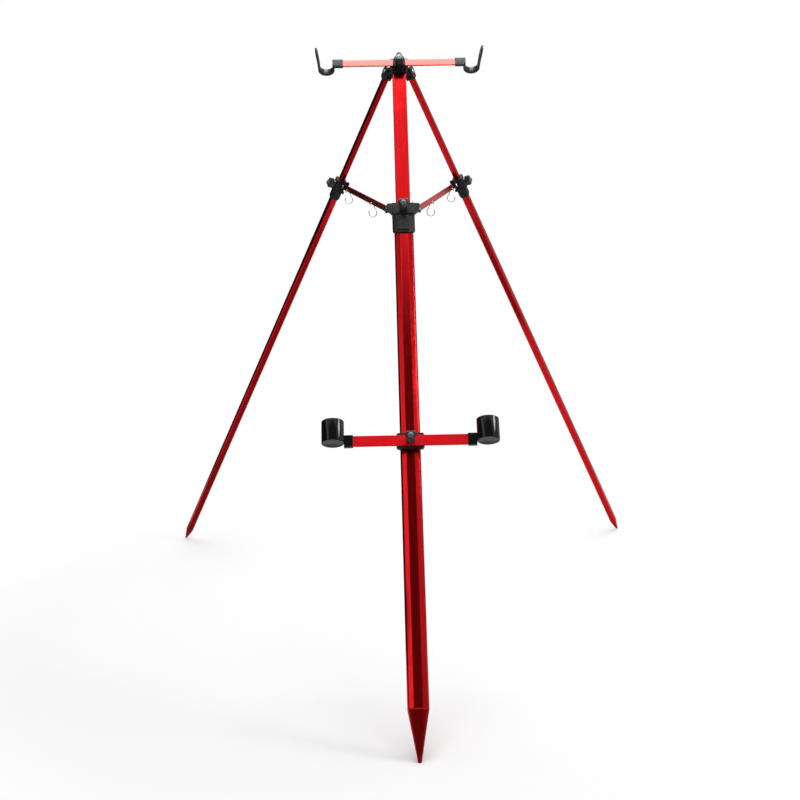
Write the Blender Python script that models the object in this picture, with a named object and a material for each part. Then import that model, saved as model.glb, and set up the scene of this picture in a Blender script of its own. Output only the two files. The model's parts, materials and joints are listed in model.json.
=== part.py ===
"""Surf rod tripod: three telescopic legs on one head, with a top bar of two rod rests,
a lower bar of two butt cups, and two braces from the front leg to the rear legs.

Metres, +Z up. The front leg points towards -Y. The origin is on the ground, under the
middle of the three feet's box.
"""

from math import asin, atan2, cos, degrees, pi, radians, sin, sqrt, tan

import bmesh
import bpy
from mathutils import Matrix, Vector

# Stance
APEX_HEIGHT = 1.300
LEG_TILT = radians(34.0)
REAR_SPREAD = radians(45.0)
HINGE_REACH = 0.060

# Clearances
FIT = 0.0003
SLIDE_FIT = 0.0005
PIN_FIT = 0.0003
SWING_GAP = 0.0006

# Front leg tubes
UPPER_WIDTH = 0.0306
UPPER_DEPTH = 0.0150
UPPER_CORNER = 0.0025
UPPER_WALL = 0.0016
UPPER_TAIL_GAP = 0.0041
LOWER_WIDTH = 0.0400
LOWER_DEPTH = 0.0280
LOWER_FACE = 0.0156
LOWER_CHAMFER_DROP = 0.0045
LOWER_SIDE = 0.0100
LOWER_SHOULDER = 0.0172
LOWER_WALL = 0.0018
POINT_LENGTH = 0.094
POINT_NOSE = 0.13
SPIGOT_LENGTH = 0.018
BUSH_LENGTH = 0.016
POINT_OVERRUN = 0.0030

# Rear leg tubes
REAR_UPPER = 0.0134
REAR_UPPER_CHAMFER = 0.0020
REAR_UPPER_WALL = 0.0011
REAR_TAIL_GAP = 0.0681
REAR_LOWER = 0.0166
REAR_LOWER_CHAMFER = 0.0028
REAR_LOWER_WALL = 0.0011
REAR_POINT_LENGTH = 0.034
REAR_POINT_NOSE = 0.20
REAR_SPIGOT_LENGTH = 0.014

# Head
HUB_WIDTH = 0.0330
HUB_DEPTH = 0.0240
HUB_TOP = 0.038
HUB_BOTTOM = 0.071
HUB_CORNER = 0.0030
TUBE_SEAT = 0.043
LUG_RADIUS = 0.0095
LUG_THICKNESS = 0.0090
ARM_STEP = 0.0005
CHEEK_RADIUS = 0.0125
CHEEK_THICKNESS = 0.0052
HINGE_PIN_RADIUS = 0.0030
HINGE_HEAD_RADIUS = 0.0048
HINGE_HEAD = 0.0018
KNUCKLE_NECK = 0.0160
PLUG_LENGTH = 0.026

# Bars
TOP_BAR_PLACE = 0.0530
TOP_BAR_HEIGHT = 0.0160
TOP_BAR_THICKNESS = 0.0040
TOP_BAR_BARE = 0.1242
SADDLE_WIDTH = 0.0406
SADDLE_HEIGHT = 0.0280
SADDLE_THICKNESS = 0.0042
SADDLE_CORNER = 0.0030
CLAMP_WIDTH = 0.0280
CLAMP_HEIGHT = 0.0175
CLAMP_THICKNESS = 0.0040
CLAMP_DROP = 0.0035
LOWER_BAR_PLACE = 0.9618
LOWER_BAR_HEIGHT = 0.0215
LOWER_BAR_THICKNESS = 0.0050
LOWER_BAR_BARE = 0.1115
SOCKET_WALL = 0.0014
SOCKET_DEPTH = 0.0130

# Rod rests
REST_PAST_BAR = 0.0244
REST_RADIUS = 0.0160
REST_STRAP = 0.0046
REST_WIDTH = 0.0160
REST_DROP = 0.0160
REST_ARM = 0.0500
REST_SPLAY = 0.0048
REST_LIP = 0.0030

# Butt cups
CUP_PAST_BAR = 0.0259
CUP_RADIUS = 0.0220
CUP_WALL = 0.0024
CUP_FLOOR = 0.0030
CUP_LENGTH = 0.0454
CUP_BELOW_BAR = 0.0094
CUP_FORWARD = 0.0142
CUP_EDGE = 0.0012

# Knobs
KNOB_LOBE = 0.0048
KNOB_LOBE_REACH = 0.0080
KNOB_HOLLOW = 0.08
KNOB_HEAD = 0.0120
KNOB_EDGE = 0.0016
KNOB_SKIRT_RADIUS = 0.0090
TOP_KNOB_SKIRT = 0.0050
CENTRE_KNOB_SKIRT = 0.0120
LOWER_KNOB_SKIRT = 0.0150
REAR_KNOB_SKIRT = 0.0050
CAP_RADIUS = 0.0062
CAP_HEIGHT = 0.0030
CAP_SEAT = 0.0010
SCREW_RADIUS = 0.0030

# Centre collar and sleeve
COLLAR_TOP = 0.4130
COLLAR_LENGTH = 0.0260
COLLAR_WIDTH = 0.0480
COLLAR_DEPTH = 0.0290
COLLAR_CORNER = 0.0040
NECK_LENGTH = 0.0060
NECK_WIDTH = 0.0430
NECK_DEPTH = 0.0250
EAR_SPAN = 0.0700
EAR_LEVEL = -0.0030
EAR_DEPTH = 0.0160
EAR_HEIGHT = 0.0220
EAR_CORNER = 0.0030
EAR_SIDE = 0.0105
EAR_FOOT = 0.0470
SLEEVE_TOP_WALL = 0.0060
SLEEVE_LENGTH = 0.0430
SLEEVE_WALL = 0.0036
PANEL_WIDTH = 0.0235
PANEL_LENGTH = 0.0280
PANEL_RISE = 0.0020
PANEL_DROP = 0.0080
SLEEVE_SLANT = 0.55

# Braces, their forks and pins
BRACE_WIDTH = 0.0125
BRACE_THICKNESS = 0.0030
BRACE_PIN_RADIUS = 0.0025
BRACE_HEAD_RADIUS = 0.0045
BRACE_HEAD = 0.0018
FORK_SLOT = 0.0052
PRONG_THICKNESS = 0.0030
PRONG_RADIUS = 0.0080
FRONT_PIVOT_PLACE = 0.4120
FRONT_PIVOT_OUT = 0.0200
FRONT_PIVOT_BACK = 0.0280
REAR_PIVOT_PLACE = 0.2935
REAR_PIVOT_IN = 0.0260
REAR_PIVOT_ASIDE = 0.0050
REAR_EAR = 0.0150

# Rear collars and sleeves
REAR_COLLAR_TOP = 0.2885
REAR_COLLAR_LENGTH = 0.0295
REAR_COLLAR_SIZE = 0.0250
REAR_COLLAR_CORNER = 0.0040
REAR_RIM = 0.0050
REAR_RIM_SIZE = 0.0290
REAR_KNOB_PLACE = 0.3035
REAR_SLEEVE_LENGTH = 0.0225
REAR_SLEEVE_WALL = 0.0032
REAR_SLEEVE_TOP_WALL = 0.0050

# Lower bracket
BRACKET_WIDTH = 0.0550
BRACKET_HEIGHT = 0.0310
BRACKET_LIFT = 0.0020
BRACKET_BACK_WALL = 0.0050
BRACKET_PAD = 0.0110
BRACKET_RING_WALL = 0.0032
BRACKET_RING_TOP = 0.0175
BRACKET_RING_BOTTOM = 0.0020
BRACKET_CORNER = 0.0050

# Wire hooks
WIRE_RADIUS = 0.0009
EYE_RADIUS = 0.0044
EYE_TAIL = 0.0025
HOOK_RADIUS = 0.0092
HOOK_DROP = 0.0225
HOOK_ASIDE = 0.0020
HOOK_HOLE_RADIUS = 0.0024
HOOK_HOLE_EDGE = 0.0038
HOOK_PLACES = (0.028, 0.228)

# Facets
ROUND = 24
SMALL_ROUND = 16
WIRE_SIDES = 6

# Leg directions, in the tripod's own frame
FRONT_DOWN = Vector((0.0, -sin(LEG_TILT), -cos(LEG_TILT)))
FOOT_REACH = APEX_HEIGHT * tan(LEG_TILT)
MIDDLE = FOOT_REACH * (1.0 - cos(REAR_SPREAD)) / 2.0
APEX = Vector((0.0, MIDDLE, APEX_HEIGHT))
LEG_LENGTH = APEX_HEIGHT / cos(LEG_TILT)
UPPER_END = LEG_LENGTH - POINT_LENGTH - SPIGOT_LENGTH - BUSH_LENGTH - UPPER_TAIL_GAP
REAR_LENGTH = LEG_LENGTH - HINGE_REACH
REAR_UPPER_END = REAR_LENGTH - REAR_POINT_LENGTH - REAR_SPIGOT_LENGTH - BUSH_LENGTH - REAR_TAIL_GAP


def clear_scene():
    """Remove what the start-up file holds."""
    for thing in list(bpy.data.objects):
        bpy.data.objects.remove(thing, do_unlink=True)


def finish(name, colour, roughness, metallic):
    """Make one Principled material."""
    material = bpy.data.materials.new(name)
    material.use_nodes = True
    shader = material.node_tree.nodes["Principled BSDF"]
    shader.inputs["Base Color"].default_value = (*colour, 1.0)
    shader.inputs["Roughness"].default_value = roughness
    shader.inputs["Metallic"].default_value = metallic
    material.diffuse_color = (*colour, 1.0)
    return material


def axes(name, origin, x_axis, y_axis, z_axis):
    """Place an empty whose local axes are the three given ones."""
    empty = bpy.data.objects.new(name, None)
    empty.empty_display_size = 0.05
    turn = Matrix((x_axis, y_axis, z_axis)).transposed().to_4x4()
    empty.matrix_world = Matrix.Translation(origin) @ turn
    bpy.context.scene.collection.objects.link(empty)
    return empty


def place(name, mesh, material, parent, pivot):
    """Link one mesh object, whose mesh is measured from pivot in the parent's axes."""
    mesh.materials.append(material)
    thing = bpy.data.objects.new(name, mesh)
    thing.parent = parent
    thing.location = pivot
    bpy.context.scene.collection.objects.link(thing)
    return thing


def closed_mesh(name, bm):
    """Turn a bmesh into a mesh with its faces outwards, smooth where they are round."""
    bmesh.ops.remove_doubles(bm, verts=bm.verts, dist=1e-7)
    bmesh.ops.recalc_face_normals(bm, faces=bm.faces)
    mesh = bpy.data.meshes.new(name)
    bm.to_mesh(mesh)
    bm.free()
    mesh.shade_smooth()
    mesh.set_sharp_from_angle(angle=radians(32.0))
    return mesh


def skin(name, rings, cyclic=False):
    """Skin rings of equal counts. Open runs get a face over each end."""
    bm = bmesh.new()
    rows = [[bm.verts.new(point) for point in ring] for ring in rings]
    count = len(rows[0])
    pairs = list(zip(rows, rows[1:]))
    if cyclic:
        pairs.append((rows[-1], rows[0]))
    for low, high in pairs:
        for k in range(count):
            after = (k + 1) % count
            bm.faces.new((low[k], low[after], high[after], high[k]))
    if not cyclic:
        bm.faces.new(rows[0])
        bm.faces.new(list(reversed(rows[-1])))
    return closed_mesh(name, bm)


def plate(name, outline, holes, level, thickness, to_space):
    """Make a flat plate from an outline and holes, given as (a, b) points.

    to_space turns (a, b, c) into a point, c being the height through the plate.
    """
    bm = bmesh.new()
    edges = []
    for loop in [outline, *holes]:
        verts = [bm.verts.new((a, b, level)) for a, b in loop]
        for k, vert in enumerate(verts):
            edges.append(bm.edges.new((vert, verts[(k + 1) % len(verts)])))
    bmesh.ops.triangle_fill(bm, edges=edges, use_beauty=True)
    grown = bmesh.ops.extrude_face_region(bm, geom=bm.faces[:])
    moved = [item for item in grown["geom"] if isinstance(item, bmesh.types.BMVert)]
    bmesh.ops.translate(bm, verts=moved, vec=(0.0, 0.0, thickness))
    for vert in bm.verts:
        vert.co = to_space(*vert.co)
    return closed_mesh(name, bm)


def arc(centre, radius, start, stop, steps):
    """Points of an arc in a plane, both ends included."""
    points = []
    for k in range(steps + 1):
        angle = start + (stop - start) * k / steps
        points.append((centre[0] + radius * cos(angle), centre[1] + radius * sin(angle)))
    return points


def circle(centre, radius, count):
    """Points of a full circle in a plane."""
    return arc(centre, radius, 0.0, 2.0 * pi * (count - 1) / count, count - 1)


def rounded_box(width, depth, corner, steps=3, centre=(0.0, 0.0)):
    """Outline of a rectangle with round corners."""
    points = []
    for quarter in range(4):
        side_x = 1.0 if quarter in (0, 3) else -1.0
        side_y = 1.0 if quarter in (0, 1) else -1.0
        middle = (
            centre[0] + side_x * (width / 2.0 - corner),
            centre[1] + side_y * (depth / 2.0 - corner),
        )
        start = quarter * pi / 2.0
        points.extend(arc(middle, corner, start, start + pi / 2.0, steps))
    return points


def chamfered_box(size, chamfer):
    """Outline of a square with cut corners."""
    half = size / 2.0
    inner = half - chamfer
    return [
        (half, inner), (inner, half), (-inner, half), (-half, inner),
        (-half, -inner), (-inner, -half), (inner, -half), (half, -inner),
    ]


def lower_outline(grow=0.0):
    """Outline of the front lower tube: flat face, wide chamfer, narrow shoulder, side."""
    half_width = LOWER_WIDTH / 2.0
    half_depth = LOWER_DEPTH / 2.0
    quarter = [
        (half_width, LOWER_SIDE / 2.0),
        (LOWER_SHOULDER, half_depth - LOWER_CHAMFER_DROP),
        (LOWER_FACE / 2.0, half_depth),
    ]
    corners = [
        *quarter,
        *[(-x, y) for x, y in reversed(quarter)],
        *[(-x, -y) for x, y in quarter],
        *[(x, -y) for x, y in reversed(quarter)],
    ]
    return offset_outline(corners, grow)


def offset_outline(corners, grow):
    """Move every side of a convex anticlockwise outline outwards by the same distance."""
    moved = []
    count = len(corners)
    for k in range(count):
        before = Vector(corners[k - 1])
        here = Vector(corners[k])
        after = Vector(corners[(k + 1) % count])
        side_in = (here - before).normalized()
        side_out = (after - here).normalized()
        normal_in = Vector((side_in.y, -side_in.x))
        normal_out = Vector((side_out.y, -side_out.x))
        bisector = (normal_in + normal_out).normalized()
        moved.append(tuple(here + bisector * (grow / bisector.dot(normal_in))))
    return moved


def level_ring(outline, z):
    """Lift an (x, y) outline to a height."""
    return [Vector((x, y, z)) for x, y in outline]


def slanted_ring(outline, z, face):
    """Lift an outline to a height at the front face, and less towards the back."""
    return [Vector((x, y, z - SLEEVE_SLANT * (face - y))) for x, y in outline]


def shifted(rings, pivot):
    """Measure rings from a pivot."""
    return [[point - pivot for point in ring] for ring in rings]


def pipe_rings(outer, inner, top, bottom):
    """Four rings that skin, as a closed run, into a wall with a hole right through."""
    return [
        level_ring(outer, top),
        level_ring(outer, bottom),
        level_ring(inner, bottom),
        level_ring(inner, top),
    ]


def across(axis):
    """Two unit vectors square to an axis and to each other."""
    helper = Vector((0.0, 0.0, 1.0)) if abs(axis.z) < 0.9 else Vector((1.0, 0.0, 0.0))
    first = axis.cross(helper).normalized()
    return first, axis.cross(first).normalized()


def round_rings(centre, axis, stations, count=ROUND):
    """Rings round an axis, one for each (distance along it, radius)."""
    first, second = across(axis)
    rings = []
    for distance, radius in stations:
        rings.append([
            centre + axis * distance + first * x + second * y
            for x, y in circle((0.0, 0.0), radius, count)
        ])
    return rings


def tube_along(points, radius, sides, plane_normal):
    """Rings of a round wire whose path lies in one plane."""
    rings = []
    last = len(points) - 1
    for k, point in enumerate(points):
        ahead = points[min(k + 1, last)] - points[max(k - 1, 0)]
        tangent = ahead.normalized()
        side = plane_normal.cross(tangent).normalized()
        rings.append([
            point + side * x + plane_normal * y
            for x, y in circle((0.0, 0.0), radius, sides)
        ])
    return rings


def tool(name, mesh, parent, pivot):
    """Place a hidden mesh that a Boolean modifier uses."""
    thing = bpy.data.objects.new(name, mesh)
    thing.parent = parent
    thing.location = pivot
    thing.hide_render = True
    thing.display_type = "WIRE"
    bpy.context.scene.collection.objects.link(thing)
    return thing


def combine(target, other, operation):
    """Join or cut with a Boolean modifier."""
    step = target.modifiers.new(f"{operation.lower()} {other.name}", "BOOLEAN")
    step.operation = operation
    step.solver = "EXACT"
    step.object = other


RED = finish("red anodised tube", (0.62, 0.010, 0.015), 0.22, 0.85)
RED_BAR = finish("red anodised bar", (0.66, 0.012, 0.018), 0.36, 0.80)
BLACK = finish("black moulded nylon", (0.022, 0.022, 0.024), 0.42, 0.0)
GLOSS_BLACK = finish("glossy black cup", (0.010, 0.010, 0.011), 0.10, 0.0)
KNOB_GREY = finish("dark grey knob", (0.050, 0.055, 0.065), 0.38, 0.0)
CAP_GREY = finish("satin grey cap", (0.16, 0.17, 0.19), 0.30, 0.0)
STEEL = finish("zinc plated steel", (0.62, 0.62, 0.64), 0.30, 1.0)
WIRE = finish("bright steel wire", (0.70, 0.70, 0.71), 0.25, 1.0)

clear_scene()


class Leg:
    """One leg's axes: +X square to its folding plane, +Z down the leg."""

    def __init__(self, name, down, origin, x_axis):
        self.name = name
        self.down = down
        self.origin = origin
        self.x_axis = x_axis
        self.y_axis = down.cross(x_axis)
        self.empty = axes(f"{name}_axes", origin, x_axis, self.y_axis, down)

    def to_world(self, point):
        """A point in this leg's axes, in the tripod's frame."""
        return self.origin + self.x_axis * point.x + self.y_axis * point.y + self.down * point.z

    def to_local(self, point):
        """A point in the tripod's frame, in this leg's axes."""
        away = point - self.origin
        return Vector((away.dot(self.x_axis), away.dot(self.y_axis), away.dot(self.down)))

    def direction_to_local(self, direction):
        """A direction in the tripod's frame, in this leg's axes."""
        return Vector((
            direction.dot(self.x_axis), direction.dot(self.y_axis), direction.dot(self.down),
        ))


FRONT = Leg("front_leg", FRONT_DOWN, APEX, Vector((1.0, 0.0, 0.0)))


def rear_leg(name, side):
    """Axes of a rear leg, with the origin on its hinge pin. side is +1 towards +X."""
    down = Vector((
        side * sin(LEG_TILT) * sin(REAR_SPREAD),
        sin(LEG_TILT) * cos(REAR_SPREAD),
        -cos(LEG_TILT),
    ))
    plane_normal = FRONT_DOWN.cross(down).normalized()
    return Leg(name, down, APEX + down * HINGE_REACH, plane_normal)


REAR = {
    "left": (rear_leg("rear_left_leg", -1.0), -1.0),
    "right": (rear_leg("rear_right_leg", 1.0), 1.0),
}

# Levels of the head, measured out of the front leg's flat face
HUB_FACE = HUB_DEPTH / 2.0
SADDLE_FACE = HUB_FACE + FIT + SADDLE_THICKNESS
TOP_BAR_BACK = SADDLE_FACE + FIT
TOP_BAR_FACE = TOP_BAR_BACK + TOP_BAR_THICKNESS
BRACKET_FACE = LOWER_DEPTH / 2.0 + BRACKET_PAD
LOWER_BAR_BACK = BRACKET_FACE + FIT
LOWER_BAR_FACE = LOWER_BAR_BACK + LOWER_BAR_THICKNESS
REST_CENTRE = TOP_BAR_BARE + SOCKET_DEPTH + REST_PAST_BAR
CUP_CENTRE = LOWER_BAR_BARE + SOCKET_DEPTH + CUP_PAST_BAR
COLLAR_FACE = COLLAR_DEPTH / 2.0
COLLAR_BOTTOM = COLLAR_TOP + COLLAR_LENGTH + NECK_LENGTH
SLEEVE_TOP = COLLAR_BOTTOM + FIT
LOWER_TOP = SLEEVE_TOP + SLEEVE_TOP_WALL + FIT
REAR_COLLAR_BOTTOM = REAR_COLLAR_TOP + REAR_COLLAR_LENGTH
REAR_SLEEVE_TOP = REAR_COLLAR_BOTTOM + FIT
REAR_LOWER_TOP = REAR_SLEEVE_TOP + REAR_SLEEVE_TOP_WALL + FIT
CHEEK_INSIDE = LUG_THICKNESS / 2.0 + FIT


def lobed_outline():
    """Outline of a knob with three round lobes and slightly hollow sides."""
    arcs = []
    for k in range(3):
        angle = 2.0 * pi * k / 3.0
        middle = (KNOB_LOBE_REACH * cos(angle), KNOB_LOBE_REACH * sin(angle))
        arcs.append(arc(middle, KNOB_LOBE, angle - pi / 3.0, angle + pi / 3.0, 5))
    outline = []
    steps = 5
    for k, lobe in enumerate(arcs):
        outline.extend(lobe)
        first = Vector(lobe[-1])
        last = Vector(arcs[(k + 1) % 3][0])
        for j in range(1, steps):
            share = j / steps
            hollow = 1.0 - KNOB_HOLLOW * sin(pi * share)
            outline.append(tuple(first.lerp(last, share) * hollow))
    return outline


def knob(name, leg, centre, outward, up, skirt, tail):
    """A three-lobed clamp knob, its cap and its screw, on one axis.

    centre is where the skirt starts, outward the way the screw is pulled, and up the way
    that one lobe points. skirt is the round part's length, and tail is how far the screw
    runs behind it.
    """
    sideways = outward.cross(up)
    lobes = lobed_outline()

    def head_ring(level, shrink):
        ring = []
        for x, y in lobes:
            scale = 1.0 - shrink / sqrt(x * x + y * y)
            ring.append(outward * level + (up * x + sideways * y) * scale)
        return ring

    def round_ring(level, radius):
        ring = []
        for x, y in lobes:
            away = (up * x + sideways * y).normalized()
            ring.append(outward * level + away * radius)
        return ring

    top = skirt + KNOB_HEAD
    rings = [
        round_ring(FIT, SCREW_RADIUS + PIN_FIT),
        round_ring(FIT, KNOB_SKIRT_RADIUS),
        round_ring(skirt, KNOB_SKIRT_RADIUS - KNOB_EDGE),
        head_ring(skirt, KNOB_EDGE),
        head_ring(skirt + KNOB_EDGE, 0.0),
        head_ring(top - KNOB_EDGE, 0.0),
        head_ring(top, KNOB_EDGE),
        round_ring(top, CAP_RADIUS + PIN_FIT),
        round_ring(top - CAP_SEAT, CAP_RADIUS + PIN_FIT),
        round_ring(top - CAP_SEAT, SCREW_RADIUS + PIN_FIT),
    ]
    place(name, skin(name, rings, cyclic=True), KNOB_GREY, leg.empty, centre)
    cap = round_rings(Vector(), outward, [
        (top - CAP_SEAT + FIT, CAP_RADIUS),
        (top - CAP_SEAT + CAP_HEIGHT * 0.55, CAP_RADIUS),
        (top - CAP_SEAT + CAP_HEIGHT * 0.85, CAP_RADIUS * 0.75),
        (top - CAP_SEAT + CAP_HEIGHT, CAP_RADIUS * 0.35),
    ], SMALL_ROUND)
    place(f"{name}_cap", skin(f"{name}_cap", cap), CAP_GREY, leg.empty, centre)
    screw = round_rings(Vector(), outward, [
        (-tail, SCREW_RADIUS * 0.7),
        (-tail + SCREW_RADIUS * 0.3, SCREW_RADIUS),
        (top - CAP_SEAT - FIT, SCREW_RADIUS),
    ], SMALL_ROUND)
    place(f"{name}_screw", skin(f"{name}_screw", screw), STEEL, leg.empty, centre)


def round_tool(name, leg, centre, axis, start, stop, radius):
    """A hidden cylinder for cutting or joining."""
    rings = round_rings(Vector(), axis, [(start, radius), (stop, radius)])
    return tool(name, skin(name, rings), leg.empty, centre)


def front_direction(leg, side):
    """For one side: outwards, and away from the front leg, both square to the front leg."""
    outward = FRONT.direction_to_local(leg.x_axis * side)
    away = FRONT.direction_to_local(leg.down)
    away.z = 0.0
    return outward, away.normalized()


def build_hub():
    """The head: a socket for the front tube and an arm with a lug for each rear leg."""
    outline = rounded_box(HUB_WIDTH, HUB_DEPTH, HUB_CORNER)
    rings = [level_ring(outline, HUB_TOP), level_ring(outline, HUB_BOTTOM)]
    hub = place("head_hub", skin("head_hub", rings), BLACK, FRONT.empty, Vector())
    for word, (leg, side) in REAR.items():
        outward, away = front_direction(leg, side)
        pin = FRONT.to_local(leg.origin)
        half = LUG_THICKNESS / 2.0
        thin = half - ARM_STEP
        inside = away.dot(pin)

        def corner(distance, offset, z):
            return away * distance + outward * offset + Vector((0.0, 0.0, z))

        arm = []
        for distance, low, high in (
            (HUB_CORNER, HUB_TOP + HUB_CORNER, HUB_BOTTOM - HUB_CORNER),
            (inside - CHEEK_RADIUS * 1.1, pin.z - LUG_RADIUS * 0.5, pin.z + LUG_RADIUS * 0.9),
            (inside, pin.z - LUG_RADIUS * 0.9, pin.z + LUG_RADIUS * 0.9),
        ):
            arm.append([
                corner(distance, -thin, low), corner(distance, thin, low),
                corner(distance, thin, high), corner(distance, -thin, high),
            ])
        combine(hub, tool(f"{word}_arm", skin(f"{word}_arm", arm), FRONT.empty, Vector()), "UNION")
        lug = round_tool(f"{word}_lug", FRONT, pin, outward, -half, half, LUG_RADIUS)
        combine(hub, lug, "UNION")
    socket = rounded_box(
        UPPER_WIDTH + 2.0 * FIT, UPPER_DEPTH + 2.0 * FIT, UPPER_CORNER,
    )
    bore = [level_ring(socket, TUBE_SEAT), level_ring(socket, HUB_BOTTOM + LUG_RADIUS)]
    combine(hub, tool("tube_socket", skin("tube_socket", bore), FRONT.empty, Vector()), "DIFFERENCE")
    for word, (leg, side) in REAR.items():
        outward, away = front_direction(leg, side)
        pin = FRONT.to_local(leg.origin)
        hole = round_tool(
            f"{word}_pin_hole", FRONT, pin, outward,
            -LUG_THICKNESS, LUG_THICKNESS, HINGE_PIN_RADIUS + PIN_FIT,
        )
        combine(hub, hole, "DIFFERENCE")
    out = Vector((0.0, 1.0, 0.0))
    hole = round_tool(
        "top_screw_hole", FRONT, Vector((0.0, 0.0, TOP_BAR_PLACE)), out,
        UPPER_DEPTH / 2.0, HUB_DEPTH, SCREW_RADIUS + PIN_FIT,
    )
    combine(hub, hole, "DIFFERENCE")


def build_front_tubes():
    """The front leg's tubes, its guide bush and its point."""
    outer = rounded_box(UPPER_WIDTH, UPPER_DEPTH, UPPER_CORNER)
    inner = rounded_box(
        UPPER_WIDTH - 2.0 * UPPER_WALL, UPPER_DEPTH - 2.0 * UPPER_WALL, UPPER_CORNER / 2.0,
    )
    rings = pipe_rings(outer, inner, TUBE_SEAT + FIT, UPPER_END)
    place("front_upper_tube", skin("front_upper_tube", rings, True), RED, FRONT.empty, Vector())

    guide = lower_outline(-LOWER_WALL - FIT)
    plug = rounded_box(
        UPPER_WIDTH - 2.0 * UPPER_WALL - 2.0 * FIT,
        UPPER_DEPTH - 2.0 * UPPER_WALL - 2.0 * FIT, UPPER_CORNER / 2.0, 2,
    )
    rings = [
        level_ring(guide, UPPER_END + FIT + BUSH_LENGTH),
        level_ring(guide, UPPER_END + FIT),
        level_ring(plug, UPPER_END + FIT),
        level_ring(plug, UPPER_END - BUSH_LENGTH),
    ]
    bush = skin("front_guide_bush", rings)
    place("front_guide_bush", bush, BLACK, FRONT.empty, Vector())

    pivot = Vector((0.0, 0.0, LOWER_TOP))
    tube_end = LEG_LENGTH - POINT_LENGTH
    rings = pipe_rings(lower_outline(), lower_outline(-LOWER_WALL), LOWER_TOP, tube_end)
    mesh = skin("front_lower_tube", shifted(rings, pivot), True)
    place("front_lower_tube", mesh, RED, FRONT.empty, pivot)
    point = pointed_end(
        "front_point", FRONT, lower_outline(), lower_outline(-LOWER_WALL - FIT),
        tube_end, POINT_LENGTH, SPIGOT_LENGTH, POINT_NOSE, pivot, LEG_LENGTH,
    )
    place("front_point", point, RED, FRONT.empty, pivot)


def pointed_end(name, leg, outline, spigot, start, length, spigot_length, nose, pivot, foot):
    """A faceted point on a spigot, cut flat where it stands on the ground."""
    rings = [
        level_ring(spigot, start - spigot_length),
        level_ring(spigot, start + FIT),
        level_ring(outline, start + FIT),
        level_ring([(x * nose, y * nose) for x, y in outline], foot + POINT_OVERRUN),
    ]
    bm = bmesh.new()
    rows = [[bm.verts.new(point) for point in ring] for ring in rings]
    count = len(outline)
    for low, high in zip(rows, rows[1:]):
        for k in range(count):
            after = (k + 1) % count
            bm.faces.new((low[k], low[after], high[after], high[k]))
    bm.faces.new(rows[0])
    bm.faces.new(list(reversed(rows[-1])))
    ground_normal = leg.direction_to_local(Vector((0.0, 0.0, -1.0)))
    ground_point = leg.to_local(Vector((leg.origin.x, leg.origin.y, 0.0)))
    whole = [*bm.verts, *bm.edges, *bm.faces]
    cut = bmesh.ops.bisect_plane(
        bm, geom=whole, dist=1e-7, plane_co=ground_point, plane_no=ground_normal,
        clear_outer=True,
    )
    rim = [item for item in cut["geom_cut"] if isinstance(item, bmesh.types.BMEdge)]
    bmesh.ops.edgeloop_fill(bm, edges=rim)
    bmesh.ops.translate(bm, verts=bm.verts, vec=-pivot)
    return closed_mesh(name, bm)


def build_top_bar():
    """The saddle on the head, the top bar, its two rod rests and its knob."""
    screw_place = Vector((0.0, 0.0, TOP_BAR_PLACE))

    def face_on(a, b, c):
        return Vector((a, c, b))

    hole = circle((0.0, 0.0), SCREW_RADIUS + PIN_FIT, SMALL_ROUND)
    saddle = plate(
        "top_saddle", rounded_box(SADDLE_WIDTH, SADDLE_HEIGHT, SADDLE_CORNER), [hole],
        HUB_FACE + FIT, SADDLE_THICKNESS, face_on,
    )
    place("top_saddle", saddle, BLACK, FRONT.empty, screw_place)
    half_length = TOP_BAR_BARE + SOCKET_DEPTH
    bar = plate(
        "top_bar", rounded_box(2.0 * half_length, TOP_BAR_HEIGHT, 0.0010, 1), [hole],
        TOP_BAR_BACK, TOP_BAR_THICKNESS, face_on,
    )
    place("top_bar", bar, RED_BAR, FRONT.empty, screw_place)
    for word, side in (("left", -1.0), ("right", 1.0)):
        rod_rest(word, side, screw_place)
    clamp = plate(
        "top_clamp_plate",
        rounded_box(CLAMP_WIDTH, CLAMP_HEIGHT, SADDLE_CORNER, 3, (0.0, CLAMP_DROP)), [hole],
        TOP_BAR_FACE + FIT, CLAMP_THICKNESS, face_on,
    )
    place("top_clamp_plate", clamp, BLACK, FRONT.empty, screw_place)
    clamp_face = TOP_BAR_FACE + FIT + CLAMP_THICKNESS
    knob(
        "top_knob", FRONT, screw_place + Vector((0.0, clamp_face, 0.0)),
        Vector((0.0, 1.0, 0.0)), Vector((0.0, 0.0, -1.0)), TOP_KNOB_SKIRT,
        clamp_face - UPPER_DEPTH / 2.0 - FIT,
    )


def bar_socket(height, thickness, level, near, far, pocket_end, side):
    """Rings of a moulded socket over a bar's end, open towards the bar."""
    middle = level + thickness / 2.0
    outer = rounded_box(
        height + 2.0 * (SOCKET_WALL + FIT), thickness + 2.0 * (SOCKET_WALL + FIT), 0.0016, 2,
    )
    pocket = rounded_box(height + 2.0 * FIT, thickness + 2.0 * FIT, 0.0004, 2)

    def upright(outline, x):
        return [Vector((side * x, middle + b, a)) for a, b in outline]

    return [
        upright(outer, far), upright(outer, near),
        upright(pocket, near), upright(pocket, pocket_end),
    ]


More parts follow.
